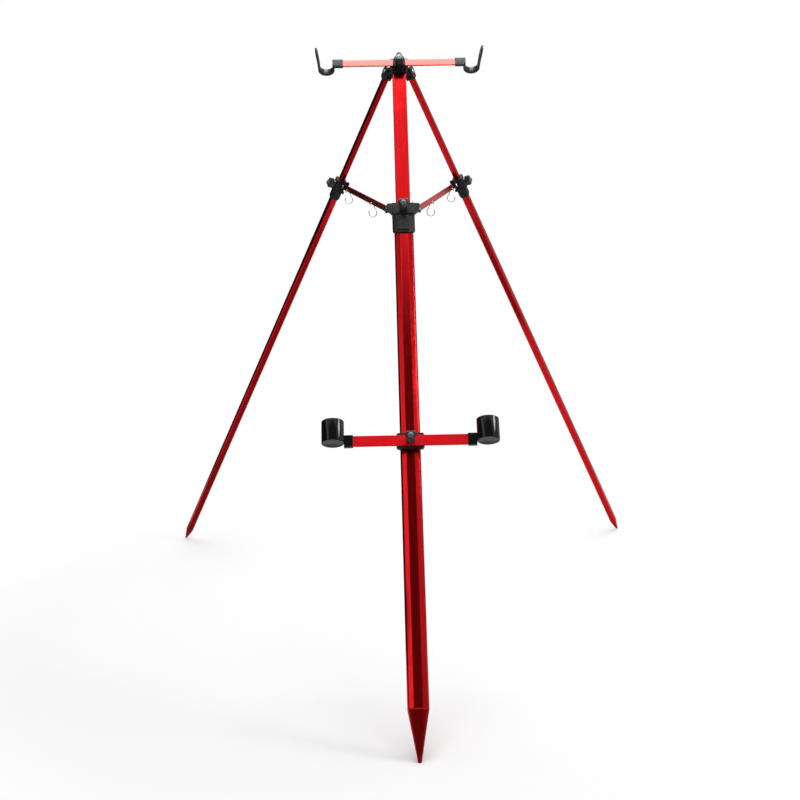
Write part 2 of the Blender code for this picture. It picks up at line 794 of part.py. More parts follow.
def rod_rest(word, side, pivot):
    """A U-shaped rest with a long outer arm, moulded in one with its bar socket."""
    name = f"{word}_rod_rest"
    start = REST_CENTRE - REST_RADIUS
    bottom = TOP_BAR_FACE - REST_DROP
    path = [(start, TOP_BAR_FACE + REST_LIP), (start, bottom)]
    path.extend(arc((REST_CENTRE, bottom), REST_RADIUS, pi, 2.0 * pi, 14)[1:])
    steps = 6
    for k in range(1, steps + 1):
        share = k / steps
        path.append((
            REST_CENTRE + REST_RADIUS + REST_SPLAY * share ** 1.5,
            bottom + (REST_DROP + REST_ARM) * share,
        ))
    centres = [Vector((x, y, 0.0)) for x, y in path]
    last = len(centres) - 1
    rings = []
    for k, centre in enumerate(centres):
        ahead = centres[min(k + 1, last)] - centres[max(k - 1, 0)]
        tangent = ahead.normalized()
        normal = Vector((tangent.y, -tangent.x, 0.0))
        wide = REST_WIDTH / 2.0
        thick = REST_STRAP / 2.0
        if k == last:
            wide *= 0.55
            thick *= 0.7
        edge = thick * 0.6
        section = [
            (thick, -wide + edge), (thick, wide - edge), (thick - edge, wide),
            (-thick + edge, wide), (-thick, wide - edge), (-thick, -wide + edge),
            (-thick + edge, -wide), (thick - edge, -wide),
        ]
        ring = []
        for a, b in section:
            point = centre + normal * a + Vector((0.0, 0.0, b))
            ring.append(Vector((side * point.x, point.y, point.z)))
        rings.append(ring)
    rest = place(name, skin(name, rings), BLACK, FRONT.empty, pivot)
    rings = bar_socket(
        TOP_BAR_HEIGHT, TOP_BAR_THICKNESS, TOP_BAR_BACK, TOP_BAR_BARE, start,
        TOP_BAR_BARE + SOCKET_DEPTH + FIT, side,
    )
    socket = tool(f"{word}_rest_socket", skin(f"{word}_rest_socket", rings), FRONT.empty, pivot)
    combine(rest, socket, "UNION")


def build_centre_collar():
    """The clamp collar on the front upper tube, with a fork for each brace."""
    pivot = Vector((0.0, 0.0, COLLAR_TOP))
    body = rounded_box(COLLAR_WIDTH, COLLAR_DEPTH, COLLAR_CORNER)
    neck = rounded_box(NECK_WIDTH, NECK_DEPTH, COLLAR_CORNER)
    bore = rounded_box(
        UPPER_WIDTH + 2.0 * SLIDE_FIT, UPPER_DEPTH + 2.0 * SLIDE_FIT, UPPER_CORNER,
    )
    rings = [
        level_ring(body, 0.0), level_ring(body, COLLAR_LENGTH),
        level_ring(neck, COLLAR_LENGTH + NECK_LENGTH * 0.35),
        level_ring(neck, COLLAR_LENGTH + NECK_LENGTH),
    ]
    mesh = skin("centre_collar", rings)
    collar = place("centre_collar", mesh, BLACK, FRONT.empty, pivot)
    tip = EAR_SPAN / 2.0
    ear = [
        *arc((EAR_CORNER - tip, FIT + EAR_CORNER), EAR_CORNER, pi, 3.0 * pi / 2.0, 2),
        *arc((tip - EAR_CORNER, FIT + EAR_CORNER), EAR_CORNER, -pi / 2.0, 0.0, 2),
        (tip, EAR_SIDE),
        (EAR_FOOT / 2.0, EAR_HEIGHT),
        (-EAR_FOOT / 2.0, EAR_HEIGHT),
        (-tip, EAR_SIDE),
    ]

    def face_on(a, b, c):
        return Vector((a, c, b))

    ears = plate("collar_ears", ear, [], EAR_LEVEL, EAR_DEPTH, face_on)
    combine(collar, tool("collar_ears", ears, FRONT.empty, pivot), "UNION")
    for word, (leg, side) in REAR.items():
        combine(collar, front_fork(word, leg, side, pivot), "UNION")
    passage = [level_ring(bore, -COLLAR_LENGTH), level_ring(bore, COLLAR_LENGTH * 3.0)]
    combine(collar, tool("collar_bore", skin("collar_bore", passage), FRONT.empty, pivot), "DIFFERENCE")
    for word, (leg, side) in REAR.items():
        outward, away = front_direction(leg, side)
        place_of_pin = front_pivot(leg, side)
        slot = fork_slot(f"{word}_front_slot", outward, away, place_of_pin)
        combine(collar, slot, "DIFFERENCE")
        hole = round_tool(
            f"{word}_front_pin_hole", FRONT, place_of_pin, outward,
            0.0, FORK_SLOT / 2.0 + 2.0 * PRONG_THICKNESS, BRACE_PIN_RADIUS + PIN_FIT,
        )
        combine(collar, hole, "DIFFERENCE")
        pin_head = FORK_SLOT / 2.0 + PRONG_THICKNESS + FIT
        screw = round_rings(Vector(), outward, [
            (FORK_SLOT / 2.0 + FIT, BRACE_PIN_RADIUS),
            (pin_head, BRACE_PIN_RADIUS),
            (pin_head, BRACE_HEAD_RADIUS),
            (pin_head + BRACE_HEAD * 0.6, BRACE_HEAD_RADIUS),
            (pin_head + BRACE_HEAD, BRACE_HEAD_RADIUS * 0.6),
        ], SMALL_ROUND)
        name = f"front_{word}_pivot_screw"
        place(name, skin(name, screw), STEEL, FRONT.empty, place_of_pin)
    middle = Vector((0.0, 0.0, COLLAR_TOP + COLLAR_LENGTH / 2.0))
    hole = round_tool(
        "collar_screw_hole", FRONT, middle, Vector((0.0, 1.0, 0.0)),
        0.0, COLLAR_DEPTH, SCREW_RADIUS + PIN_FIT,
    )
    combine(collar, hole, "DIFFERENCE")
    knob(
        "centre_knob", FRONT, middle + Vector((0.0, COLLAR_FACE, 0.0)),
        Vector((0.0, 1.0, 0.0)), Vector((0.0, 0.0, 1.0)), CENTRE_KNOB_SKIRT,
        COLLAR_FACE - UPPER_DEPTH / 2.0 - FIT,
    )


def front_pivot(leg, side):
    """Where a brace meets the centre collar, in the front leg's axes."""
    outward, away = front_direction(leg, side)
    flat = outward * FRONT_PIVOT_OUT + away * FRONT_PIVOT_BACK
    return flat + Vector((0.0, 0.0, FRONT_PIVOT_PLACE))


def front_fork(word, leg, side, pivot):
    """A block with a round end, which the slot then parts into two prongs."""
    outward, away = front_direction(leg, side)
    centre = front_pivot(leg, side)
    root = FRONT_PIVOT_BACK - 0.0050
    outline = [
        *arc((0.0, 0.0), PRONG_RADIUS, -pi / 2.0, pi / 2.0, 8),
        (-root, PRONG_RADIUS * 1.6),
        (-root, -PRONG_RADIUS * 0.2),
    ]
    thick = FORK_SLOT + 2.0 * PRONG_THICKNESS

    def in_plane(a, b, c):
        return centre - pivot + away * a + Vector((0.0, 0.0, b)) + outward * c

    mesh = plate(f"{word}_front_fork", outline, [], -thick / 2.0, thick, in_plane)
    return tool(f"{word}_front_fork", mesh, FRONT.empty, pivot)


def fork_slot(name, outward, away, centre):
    """The room for a brace beside its prong, open to the other sides."""
    depth = PRONG_RADIUS * 4.0
    inside = BRACE_WIDTH / 2.0 + 2.0 * SWING_GAP
    rings = []
    for offset in (-2.0 * (FORK_SLOT + PRONG_THICKNESS), FORK_SLOT / 2.0):
        rings.append([
            away * a + Vector((0.0, 0.0, b)) + outward * offset
            for a, b in ((-inside, -depth), (depth, -depth), (depth, depth), (-inside, depth))
        ])
    return tool(name, skin(name, rings), FRONT.empty, centre)


def build_front_sleeve():
    """The moulded sleeve on the lower tube's top end, with its raised front panel."""
    pivot = Vector((0.0, 0.0, SLEEVE_TOP))
    outer = lower_outline(SLEEVE_WALL)
    crown = lower_outline(SLEEVE_WALL - 0.0014)
    face = LOWER_DEPTH / 2.0 + SLEEVE_WALL
    rings = [
        level_ring(crown, 0.0), level_ring(outer, 0.0016),
        slanted_ring(outer, SLEEVE_LENGTH - 0.0020, face),
        slanted_ring(crown, SLEEVE_LENGTH, face),
    ]
    sleeve = place("front_sleeve", skin("front_sleeve", rings), BLACK, FRONT.empty, pivot)

    def face_on(a, b, c):
        return Vector((a, c, b))

    outline = rounded_box(
        PANEL_WIDTH, PANEL_LENGTH, 0.0020, 2, (0.0, PANEL_DROP + PANEL_LENGTH / 2.0),
    )
    panel = plate("sleeve_panel", outline, [], face - 0.0010, PANEL_RISE + 0.0010, face_on)
    combine(sleeve, tool("sleeve_panel", panel, FRONT.empty, pivot), "UNION")
    seat = lower_outline(FIT)
    cavity = [level_ring(seat, SLEEVE_TOP_WALL), level_ring(seat, SLEEVE_LENGTH * 2.0)]
    combine(sleeve, tool("sleeve_seat", skin("sleeve_seat", cavity), FRONT.empty, pivot), "DIFFERENCE")
    bore = rounded_box(
        UPPER_WIDTH + 2.0 * SLIDE_FIT, UPPER_DEPTH + 2.0 * SLIDE_FIT, UPPER_CORNER,
    )
    passage = [level_ring(bore, -SLEEVE_LENGTH), level_ring(bore, SLEEVE_LENGTH / 2.0)]
    combine(sleeve, tool("sleeve_bore", skin("sleeve_bore", passage), FRONT.empty, pivot), "DIFFERENCE")


def build_lower_bracket():
    """The bracket that slides on the front lower tube, its bar, cups and knob."""
    middle = Vector((0.0, 0.0, LOWER_BAR_PLACE))
    ring_back = -LOWER_DEPTH / 2.0 - BRACKET_BACK_WALL
    ring_width = LOWER_WIDTH + 2.0 * (BRACKET_RING_WALL + SLIDE_FIT)
    outline = rounded_box(
        ring_width, BRACKET_FACE - 0.0010 - ring_back, BRACKET_CORNER, 3,
        (0.0, (BRACKET_FACE - 0.0010 + ring_back) / 2.0),
    )
    rings = [
        level_ring(outline, -BRACKET_RING_TOP), level_ring(outline, BRACKET_RING_BOTTOM),
    ]
    bracket_mesh = skin("lower_bracket", rings)
    bracket = place("lower_bracket", bracket_mesh, BLACK, FRONT.empty, middle)

    def face_on(a, b, c):
        return Vector((a, c, b))

    pad_back = LOWER_DEPTH / 2.0 - 0.0020
    pad = plate(
        "bracket_pad",
        rounded_box(BRACKET_WIDTH, BRACKET_HEIGHT, BRACKET_CORNER, 3, (0.0, -BRACKET_LIFT)), [],
        pad_back, BRACKET_FACE - pad_back, face_on,
    )
    combine(bracket, tool("bracket_pad", pad, FRONT.empty, middle), "UNION")
    bore = lower_outline(SLIDE_FIT)
    passage = [level_ring(bore, -BRACKET_HEIGHT), level_ring(bore, BRACKET_HEIGHT)]
    cutter = tool("bracket_bore", skin("bracket_bore", passage), FRONT.empty, middle)
    combine(bracket, cutter, "DIFFERENCE")
    out = Vector((0.0, 1.0, 0.0))
    hole = round_tool(
        "bracket_screw_hole", FRONT, middle, out, 0.0, BRACKET_WIDTH, SCREW_RADIUS + PIN_FIT,
    )
    combine(bracket, hole, "DIFFERENCE")
    bar_hole = circle((0.0, 0.0), SCREW_RADIUS + PIN_FIT, SMALL_ROUND)
    half_length = LOWER_BAR_BARE + SOCKET_DEPTH
    bar = plate(
        "lower_bar", rounded_box(2.0 * half_length, LOWER_BAR_HEIGHT, 0.0010, 1), [bar_hole],
        LOWER_BAR_BACK, LOWER_BAR_THICKNESS, face_on,
    )
    place("lower_bar", bar, RED_BAR, FRONT.empty, middle)
    for word, side in (("left", -1.0), ("right", 1.0)):
        butt_cup(word, side, middle)
    knob(
        "lower_knob", FRONT, middle + out * LOWER_BAR_FACE, out, Vector((0.0, 0.0, 1.0)),
        LOWER_KNOB_SKIRT, LOWER_BAR_FACE - LOWER_DEPTH / 2.0 - FIT,
    )


def butt_cup(word, side, pivot):
    """A round cup for a rod's butt, moulded in one with its bar socket."""
    name = f"{word}_butt_cup"
    level = LOWER_BAR_BACK + LOWER_BAR_THICKNESS / 2.0 + CUP_FORWARD
    centre = Vector((side * CUP_CENTRE, level, 0.0))
    foot = CUP_BELOW_BAR
    mouth = foot - CUP_LENGTH
    inner = CUP_RADIUS - CUP_WALL
    down = Vector((0.0, 0.0, 1.0))
    body = round_rings(centre, down, [
        (foot, CUP_RADIUS - CUP_EDGE), (foot - CUP_EDGE, CUP_RADIUS),
        (mouth, CUP_RADIUS),
    ], 32)
    cup = place(name, skin(name, body), GLOSS_BLACK, FRONT.empty, pivot)
    rings = bar_socket(
        LOWER_BAR_HEIGHT, LOWER_BAR_THICKNESS, LOWER_BAR_BACK, LOWER_BAR_BARE,
        CUP_CENTRE - CUP_RADIUS * 0.55, LOWER_BAR_BARE + SOCKET_DEPTH + FIT, side,
    )
    socket = tool(f"{word}_cup_socket", skin(f"{word}_cup_socket", rings), FRONT.empty, pivot)
    combine(cup, socket, "UNION")
    hollow = round_rings(centre, down, [
        (foot - CUP_FLOOR, inner), (mouth - CUP_LENGTH, inner),
    ], 32)
    cutter = tool(f"{word}_cup_hollow", skin(f"{word}_cup_hollow", hollow), FRONT.empty, pivot)
    combine(cup, cutter, "DIFFERENCE")


def build_rear_leg(word, leg, side):
    """One rear leg from its knuckle down to its point."""
    prefix = f"rear_{word}"
    outward = Vector((side, 0.0, 0.0))
    inward = Vector((0.0, 1.0, 0.0))
    outer = chamfered_box(REAR_UPPER, REAR_UPPER_CHAMFER)
    inner = offset_outline(outer, -REAR_UPPER_WALL)
    build_knuckle(prefix, leg, outward, inner)

    rings = pipe_rings(outer, inner, KNUCKLE_NECK + FIT, REAR_UPPER_END)
    name = f"{prefix}_upper_tube"
    place(name, skin(name, rings, True), RED, leg.empty, Vector())

    lower = chamfered_box(REAR_LOWER, REAR_LOWER_CHAMFER)
    lower_bore = offset_outline(lower, -REAR_LOWER_WALL)
    guide = offset_outline(lower_bore, -FIT)
    plug = offset_outline(inner, -FIT)
    rings = [
        level_ring(guide, REAR_UPPER_END + FIT + BUSH_LENGTH),
        level_ring(guide, REAR_UPPER_END + FIT),
        level_ring(plug, REAR_UPPER_END + FIT),
        level_ring(plug, REAR_UPPER_END - BUSH_LENGTH),
    ]
    name = f"{prefix}_guide_bush"
    place(name, skin(name, rings), BLACK, leg.empty, Vector())

    build_rear_collar(prefix, leg, outward, inward)
    build_rear_sleeve(prefix, leg)

    pivot = Vector((0.0, 0.0, REAR_LOWER_TOP))
    tube_end = REAR_LENGTH - REAR_POINT_LENGTH
    rings = pipe_rings(lower, lower_bore, REAR_LOWER_TOP, tube_end)
    name = f"{prefix}_lower_tube"
    place(name, skin(name, shifted(rings, pivot), True), RED, leg.empty, pivot)
    name = f"{prefix}_point"
    point = pointed_end(
        name, leg, lower, guide, tube_end, REAR_POINT_LENGTH, REAR_SPIGOT_LENGTH,
        REAR_POINT_NOSE, pivot, REAR_LENGTH,
    )
    place(name, point, RED, leg.empty, pivot)


def build_knuckle(prefix, leg, outward, tube_bore):
    """The forked end fitting that turns on the head's lug, and its pin."""
    name = f"{prefix}_knuckle"
    full = 2.0 * (CHEEK_INSIDE + CHEEK_THICKNESS)
    outline = [
        *arc((0.0, 0.0), CHEEK_RADIUS, -pi - 0.35, 0.35, 18),
        (REAR_UPPER * 0.60, KNUCKLE_NECK - 0.0010),
        (REAR_UPPER * 0.52, KNUCKLE_NECK),
        (-REAR_UPPER * 0.52, KNUCKLE_NECK),
        (-REAR_UPPER * 0.60, KNUCKLE_NECK - 0.0010),
    ]

    def in_plane(a, b, c):
        return Vector((c, a, b))

    knuckle = place(
        name, plate(name, outline, [], -full / 2.0, full, in_plane), BLACK, leg.empty, Vector(),
    )
    plug = offset_outline(tube_bore, -FIT)
    rings = [
        level_ring(plug, LUG_RADIUS + SWING_GAP * 3.0),
        level_ring(plug, KNUCKLE_NECK + PLUG_LENGTH),
    ]
    combine(knuckle, tool(f"{prefix}_plug", skin(f"{prefix}_plug", rings), leg.empty, Vector()), "UNION")
    reach = CHEEK_RADIUS * 3.0
    web = LUG_RADIUS + SWING_GAP
    rings = [
        [Vector((x, y, z)) for y, z in ((-reach, -reach), (reach, -reach), (reach, web), (-reach, web))]
        for x in (-CHEEK_INSIDE, CHEEK_INSIDE)
    ]
    combine(knuckle, tool(f"{prefix}_gap", skin(f"{prefix}_gap", rings), leg.empty, Vector()), "DIFFERENCE")
    hole = round_tool(
        f"{prefix}_knuckle_hole", leg, Vector(), outward, -full, full,
        HINGE_PIN_RADIUS + PIN_FIT,
    )
    combine(knuckle, hole, "DIFFERENCE")
    end = full / 2.0 + FIT
    pin = round_rings(Vector(), outward, [
        (-end - HINGE_HEAD, HINGE_HEAD_RADIUS * 0.7),
        (-end - HINGE_HEAD * 0.4, HINGE_HEAD_RADIUS),
        (-end, HINGE_HEAD_RADIUS),
        (-end, HINGE_PIN_RADIUS),
        (end, HINGE_PIN_RADIUS),
        (end, HINGE_HEAD_RADIUS),
        (end + HINGE_HEAD * 0.4, HINGE_HEAD_RADIUS),
        (end + HINGE_HEAD, HINGE_HEAD_RADIUS * 0.7),
    ], SMALL_ROUND)
    place(f"{prefix}_hinge_pin", skin(f"{prefix}_hinge_pin", pin), STEEL, leg.empty, Vector())


def rear_pivot(side):
    """Where a brace turns on a rear collar, in that leg's axes."""
    return Vector((-side * REAR_PIVOT_ASIDE, REAR_PIVOT_IN, REAR_PIVOT_PLACE))


def build_rear_collar(prefix, leg, outward, inward):
    """The clamp collar on a rear upper tube, with a fork for the brace and a knob."""
    pivot = Vector((0.0, 0.0, REAR_COLLAR_TOP))
    body = rounded_box(REAR_COLLAR_SIZE, REAR_COLLAR_SIZE, REAR_COLLAR_CORNER)
    rim = rounded_box(REAR_RIM_SIZE, REAR_RIM_SIZE, REAR_COLLAR_CORNER * 0.6)
    rim_top = REAR_COLLAR_LENGTH - REAR_RIM
    rings = [
        level_ring(body, 0.0), level_ring(body, rim_top),
        level_ring(rim, rim_top + 0.0012), level_ring(rim, REAR_COLLAR_LENGTH),
    ]
    name = f"{prefix}_collar"
    collar = place(name, skin(name, rings), BLACK, leg.empty, pivot)
    pin_place = rear_pivot(outward.x)
    root = REAR_PIVOT_IN - REAR_COLLAR_SIZE / 2.0 + 0.0030
    outline = [
        (PRONG_RADIUS * 0.35, -REAR_EAR),
        *arc((0.0, 0.0), PRONG_RADIUS, -pi / 4.0, pi / 2.0, 7),
        (-root, PRONG_RADIUS * 1.1),
        (-root, -PRONG_RADIUS * 0.7),
        (-PRONG_RADIUS * 0.1, -REAR_EAR),
    ]
    thick = FORK_SLOT + 2.0 * PRONG_THICKNESS

    def in_plane(a, b, c):
        return pin_place - pivot + inward * a + Vector((0.0, 0.0, b)) + outward * c

    mesh = plate(f"{prefix}_fork", outline, [], -thick / 2.0, thick, in_plane)
    combine(collar, tool(f"{prefix}_fork", mesh, leg.empty, pivot), "UNION")
    bore = offset_outline(chamfered_box(REAR_UPPER, REAR_UPPER_CHAMFER), SLIDE_FIT)
    passage = [level_ring(bore, -REAR_COLLAR_LENGTH), level_ring(bore, REAR_COLLAR_LENGTH * 2.0)]
    cutter = tool(f"{prefix}_collar_bore", skin(f"{prefix}_collar_bore", passage), leg.empty, pivot)
    combine(collar, cutter, "DIFFERENCE")
    near = REAR_COLLAR_SIZE / 2.0 - REAR_PIVOT_IN - FIT
    reach = PRONG_RADIUS * 4.0
    rings = []
    for offset in (-FORK_SLOT / 2.0, FORK_SLOT / 2.0):
        rings.append([
            inward * a + Vector((0.0, 0.0, b)) + outward * offset
            for a, b in ((near, -reach), (reach, -reach), (reach, reach), (near, reach))
        ])
    slot = tool(f"{prefix}_slot", skin(f"{prefix}_slot", rings), leg.empty, pin_place)
    combine(collar, slot, "DIFFERENCE")
    half = FORK_SLOT / 2.0 + PRONG_THICKNESS
    hole = round_tool(
        f"{prefix}_fork_hole", leg, pin_place, outward, -2.0 * half, 2.0 * half,
        BRACE_PIN_RADIUS + PIN_FIT,
    )
    combine(collar, hole, "DIFFERENCE")
    end = half + FIT
    pin = round_rings(Vector(), outward, [
        (-end - BRACE_HEAD, BRACE_HEAD_RADIUS * 0.6),
        (-end - BRACE_HEAD * 0.4, BRACE_HEAD_RADIUS),
        (-end, BRACE_HEAD_RADIUS),
        (-end, BRACE_PIN_RADIUS),
        (end, BRACE_PIN_RADIUS),
        (end, BRACE_HEAD_RADIUS),
        (end + BRACE_HEAD * 0.4, BRACE_HEAD_RADIUS),
        (end + BRACE_HEAD, BRACE_HEAD_RADIUS * 0.6),
    ], SMALL_ROUND)
    name = f"{prefix}_pivot_pin"
    place(name, skin(name, pin), STEEL, leg.empty, pin_place)
    knob_centre = Vector((0.0, 0.0, REAR_KNOB_PLACE))
    hole = round_tool(
        f"{prefix}_screw_hole", leg, knob_centre, outward, 0.0, REAR_COLLAR_SIZE,
        SCREW_RADIUS + PIN_FIT,
    )
    combine(collar, hole, "DIFFERENCE")
    knob(
        f"{prefix}_knob", leg, knob_centre + outward * (REAR_COLLAR_SIZE / 2.0),
        outward, Vector((0.0, 0.0, -1.0)), REAR_KNOB_SKIRT,
        REAR_COLLAR_SIZE / 2.0 - REAR_UPPER / 2.0 - FIT,
    )


def build_rear_sleeve(prefix, leg):
    """The moulded sleeve on a rear lower tube's top end."""
    pivot = Vector((0.0, 0.0, REAR_SLEEVE_TOP))
    lower = chamfered_box(REAR_LOWER, REAR_LOWER_CHAMFER)
    outer = offset_outline(lower, REAR_SLEEVE_WALL)
    mouth = offset_outline(lower, REAR_SLEEVE_WALL - 0.0014)
    rings = [
        level_ring(outer, 0.0), level_ring(outer, REAR_SLEEVE_LENGTH * 0.75),
        level_ring(mouth, REAR_SLEEVE_LENGTH),
    ]
    name = f"{prefix}_sleeve"
    sleeve = place(name, skin(name, rings), BLACK, leg.empty, pivot)
    seat = offset_outline(lower, FIT)
    cavity = [level_ring(seat, REAR_SLEEVE_TOP_WALL), level_ring(seat, REAR_SLEEVE_LENGTH * 2.0)]
    cutter = tool(f"{prefix}_sleeve_seat", skin(f"{prefix}_sleeve_seat", cavity), leg.empty, pivot)
    combine(sleeve, cutter, "DIFFERENCE")
    bore = offset_outline(chamfered_box(REAR_UPPER, REAR_UPPER_CHAMFER), SLIDE_FIT)
    passage = [level_ring(bore, -REAR_SLEEVE_LENGTH), level_ring(bore, REAR_SLEEVE_LENGTH / 2.0)]
    cutter = tool(f"{prefix}_sleeve_bore", skin(f"{prefix}_sleeve_bore", passage), leg.empty, pivot)
    combine(sleeve, cutter, "DIFFERENCE")


def build_brace(word, leg, side):
    """A flat brace from a rear collar to the centre collar, and its two wire hooks."""
    rear_end = leg.to_world(rear_pivot(side))
    front_end = FRONT.to_world(front_pivot(leg, side))
    along = (front_end - rear_end).normalized()
    length = (front_end - rear_end).length
    flat_normal = (leg.x_axis - along * leg.x_axis.dot(along)).normalized()
    upright = flat_normal.cross(along)
    if upright.z < 0.0:
        upright = -upright
    half = BRACE_WIDTH / 2.0
    outline = [
        *arc((0.0, 0.0), half, pi / 2.0, 3.0 * pi / 2.0, 8),
        *arc((length, 0.0), half, -pi / 2.0, pi / 2.0, 8),
    ]
    holes = [
        circle((0.0, 0.0), BRACE_PIN_RADIUS + PIN_FIT, SMALL_ROUND),
        circle((length, 0.0), BRACE_PIN_RADIUS + PIN_FIT, SMALL_ROUND),
    ]
    for distance in HOOK_PLACES:
        holes.append(circle((distance, HOOK_HOLE_EDGE - half), HOOK_HOLE_RADIUS, SMALL_ROUND // 2))
    local_along = leg.direction_to_local(along)
    local_up = leg.direction_to_local(upright)
    local_flat = leg.direction_to_local(flat_normal)

    def in_plane(a, b, c):
        return local_along * a + local_up * b + local_flat * c

    name = f"{word}_brace"
    mesh = plate(name, outline, holes, -BRACE_THICKNESS / 2.0, BRACE_THICKNESS, in_plane)
    place(name, mesh, RED_BAR, leg.empty, leg.to_local(rear_end))
    for label, distance in zip(("outer", "inner"), HOOK_PLACES):
        eye = rear_end + along * distance + upright * (HOOK_HOLE_EDGE - half)
        wire_hook(f"{word}_{label}_hook", leg, side, eye, flat_normal)


def wire_hook(name, leg, side, hole, flat_normal):
    """A bent wire hook that hangs plumb from a hole, with its gap at the outer top."""
    across_brace = Vector((flat_normal.x, flat_normal.y, 0.0)).normalized()
    if across_brace.x * side > 0.0:
        across_brace = -across_brace
    up = Vector((0.0, 0.0, 1.0))
    eye = arc((0.0, -EYE_RADIUS), EYE_RADIUS, radians(200.0), radians(-20.0), 10)
    bend = arc((HOOK_ASIDE, -HOOK_DROP), HOOK_RADIUS, radians(48.0), radians(-215.0), 16)
    path = [(-EYE_RADIUS, -EYE_RADIUS - EYE_TAIL), *eye, *bend]
    points = [across_brace * x + up * y for x, y in path]
    local = [leg.direction_to_local(point) for point in points]
    normal = leg.direction_to_local(across_brace.cross(up))
    rings = tube_along(local, WIRE_RADIUS, WIRE_SIDES, normal)
    place(name, skin(name, rings), WIRE, leg.empty, leg.to_local(hole))


def report_joints():
    """Print where the joints are and how the fold couples them."""
    for word, (leg, side) in REAR.items():
        fold_axis = leg.down.cross(FRONT_DOWN)
        fold = asin(fold_axis.length)
        outward, away = front_direction(leg, side)
        hinge = FRONT.to_local(leg.origin)
        reach = hinge.dot(away)
        brace_rear = leg.to_world(rear_pivot(side))
        brace_front = FRONT.to_world(front_pivot(leg, side))
        rear = FRONT.to_local(brace_rear)
        front = FRONT.to_local(brace_front)
        run = away.dot(rear) - away.dot(front)
        rise = front.z - rear.z
        flat_length = sqrt(run * run + rise * rise)
        folded_run = reach - REAR_PIVOT_IN - away.dot(front)
        folded_rise = sqrt(flat_length ** 2 - folded_run ** 2)
        travel = hinge.z + REAR_PIVOT_PLACE + folded_rise - front.z
        brace_turn = atan2(rise, run) - atan2(folded_rise, folded_run)
        print(
            word, "hinge at", tuple(round(v, 6) for v in leg.origin),
            "fold axis", tuple(round(v, 6) for v in fold_axis.normalized()),
            "fold", round(degrees(fold), 3), "collar travel", round(travel, 6),
            "brace pin at", tuple(round(v, 6) for v in brace_rear),
            "brace turn", round(degrees(brace_turn) - degrees(fold), 3),
            "brace length", round((brace_front - brace_rear).length, 6),
        )


build_hub()
build_front_tubes()
build_top_bar()
build_centre_collar()
build_front_sleeve()
build_lower_bracket()
for word, (leg, side) in REAR.items():
    build_rear_leg(word, leg, side)
    build_brace(word, leg, side)
bpy.context.view_layer.update()
report_joints()
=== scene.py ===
"""Looks of a folding beach tripod for two surf rods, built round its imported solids.

Metres, +Z up, the front leg towards -Y. Each piece takes its place from the frame: joint
pivots, joint axes and the reach of its solid along them.
"""

from __future__ import annotations

import json
import logging
from dataclasses import dataclass, field
from enum import Enum
from math import cos, pi, radians, sin, sqrt
from typing import Sequence

import bmesh
import bpy
from mathutils import Matrix, Vector


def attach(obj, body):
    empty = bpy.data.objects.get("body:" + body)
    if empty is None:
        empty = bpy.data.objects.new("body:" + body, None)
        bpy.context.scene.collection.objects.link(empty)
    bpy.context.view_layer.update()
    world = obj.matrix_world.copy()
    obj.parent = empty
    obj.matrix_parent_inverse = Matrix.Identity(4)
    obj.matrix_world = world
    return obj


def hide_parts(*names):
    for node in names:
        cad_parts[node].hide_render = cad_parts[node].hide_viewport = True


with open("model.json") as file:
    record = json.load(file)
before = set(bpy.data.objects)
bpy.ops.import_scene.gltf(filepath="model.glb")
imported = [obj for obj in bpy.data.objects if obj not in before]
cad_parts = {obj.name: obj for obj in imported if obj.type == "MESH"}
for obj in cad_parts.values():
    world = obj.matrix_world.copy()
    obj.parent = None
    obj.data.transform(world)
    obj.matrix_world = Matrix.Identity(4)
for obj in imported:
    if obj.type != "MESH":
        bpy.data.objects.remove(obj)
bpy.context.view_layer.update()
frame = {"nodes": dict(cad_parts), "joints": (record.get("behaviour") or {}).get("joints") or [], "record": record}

LOG = logging.getLogger("tripod")
MERGE = 1e-6
FLAT = radians(1.0)
SMOOTH = radians(36.0)
EDGE_WEAR_AND_GLINT = "rub_and_glint"
WHITE = (1.0, 1.0, 1.0, 1.0)

Colour = tuple[float, float, float]


class Slot(Enum):
    """The record's material slots."""

    TUBE = "red_tube"
    BAR = "red_bar"
    NYLON = "black_nylon"
    CUP = "gloss_cup"
    KNOB = "grey_knob"
    CAP = "satin_cap"
    STEEL = "plated_steel"
    WIRE = "hook_wire"


class Side(Enum):
    """Left and right as seen from the front."""

    LEFT = "left"
    RIGHT = "right"

    @property
    def sign(self) -> float:
        """Return -1 for left and +1 for right, along +X."""
        return 1.0 if self is Side.RIGHT else -1.0


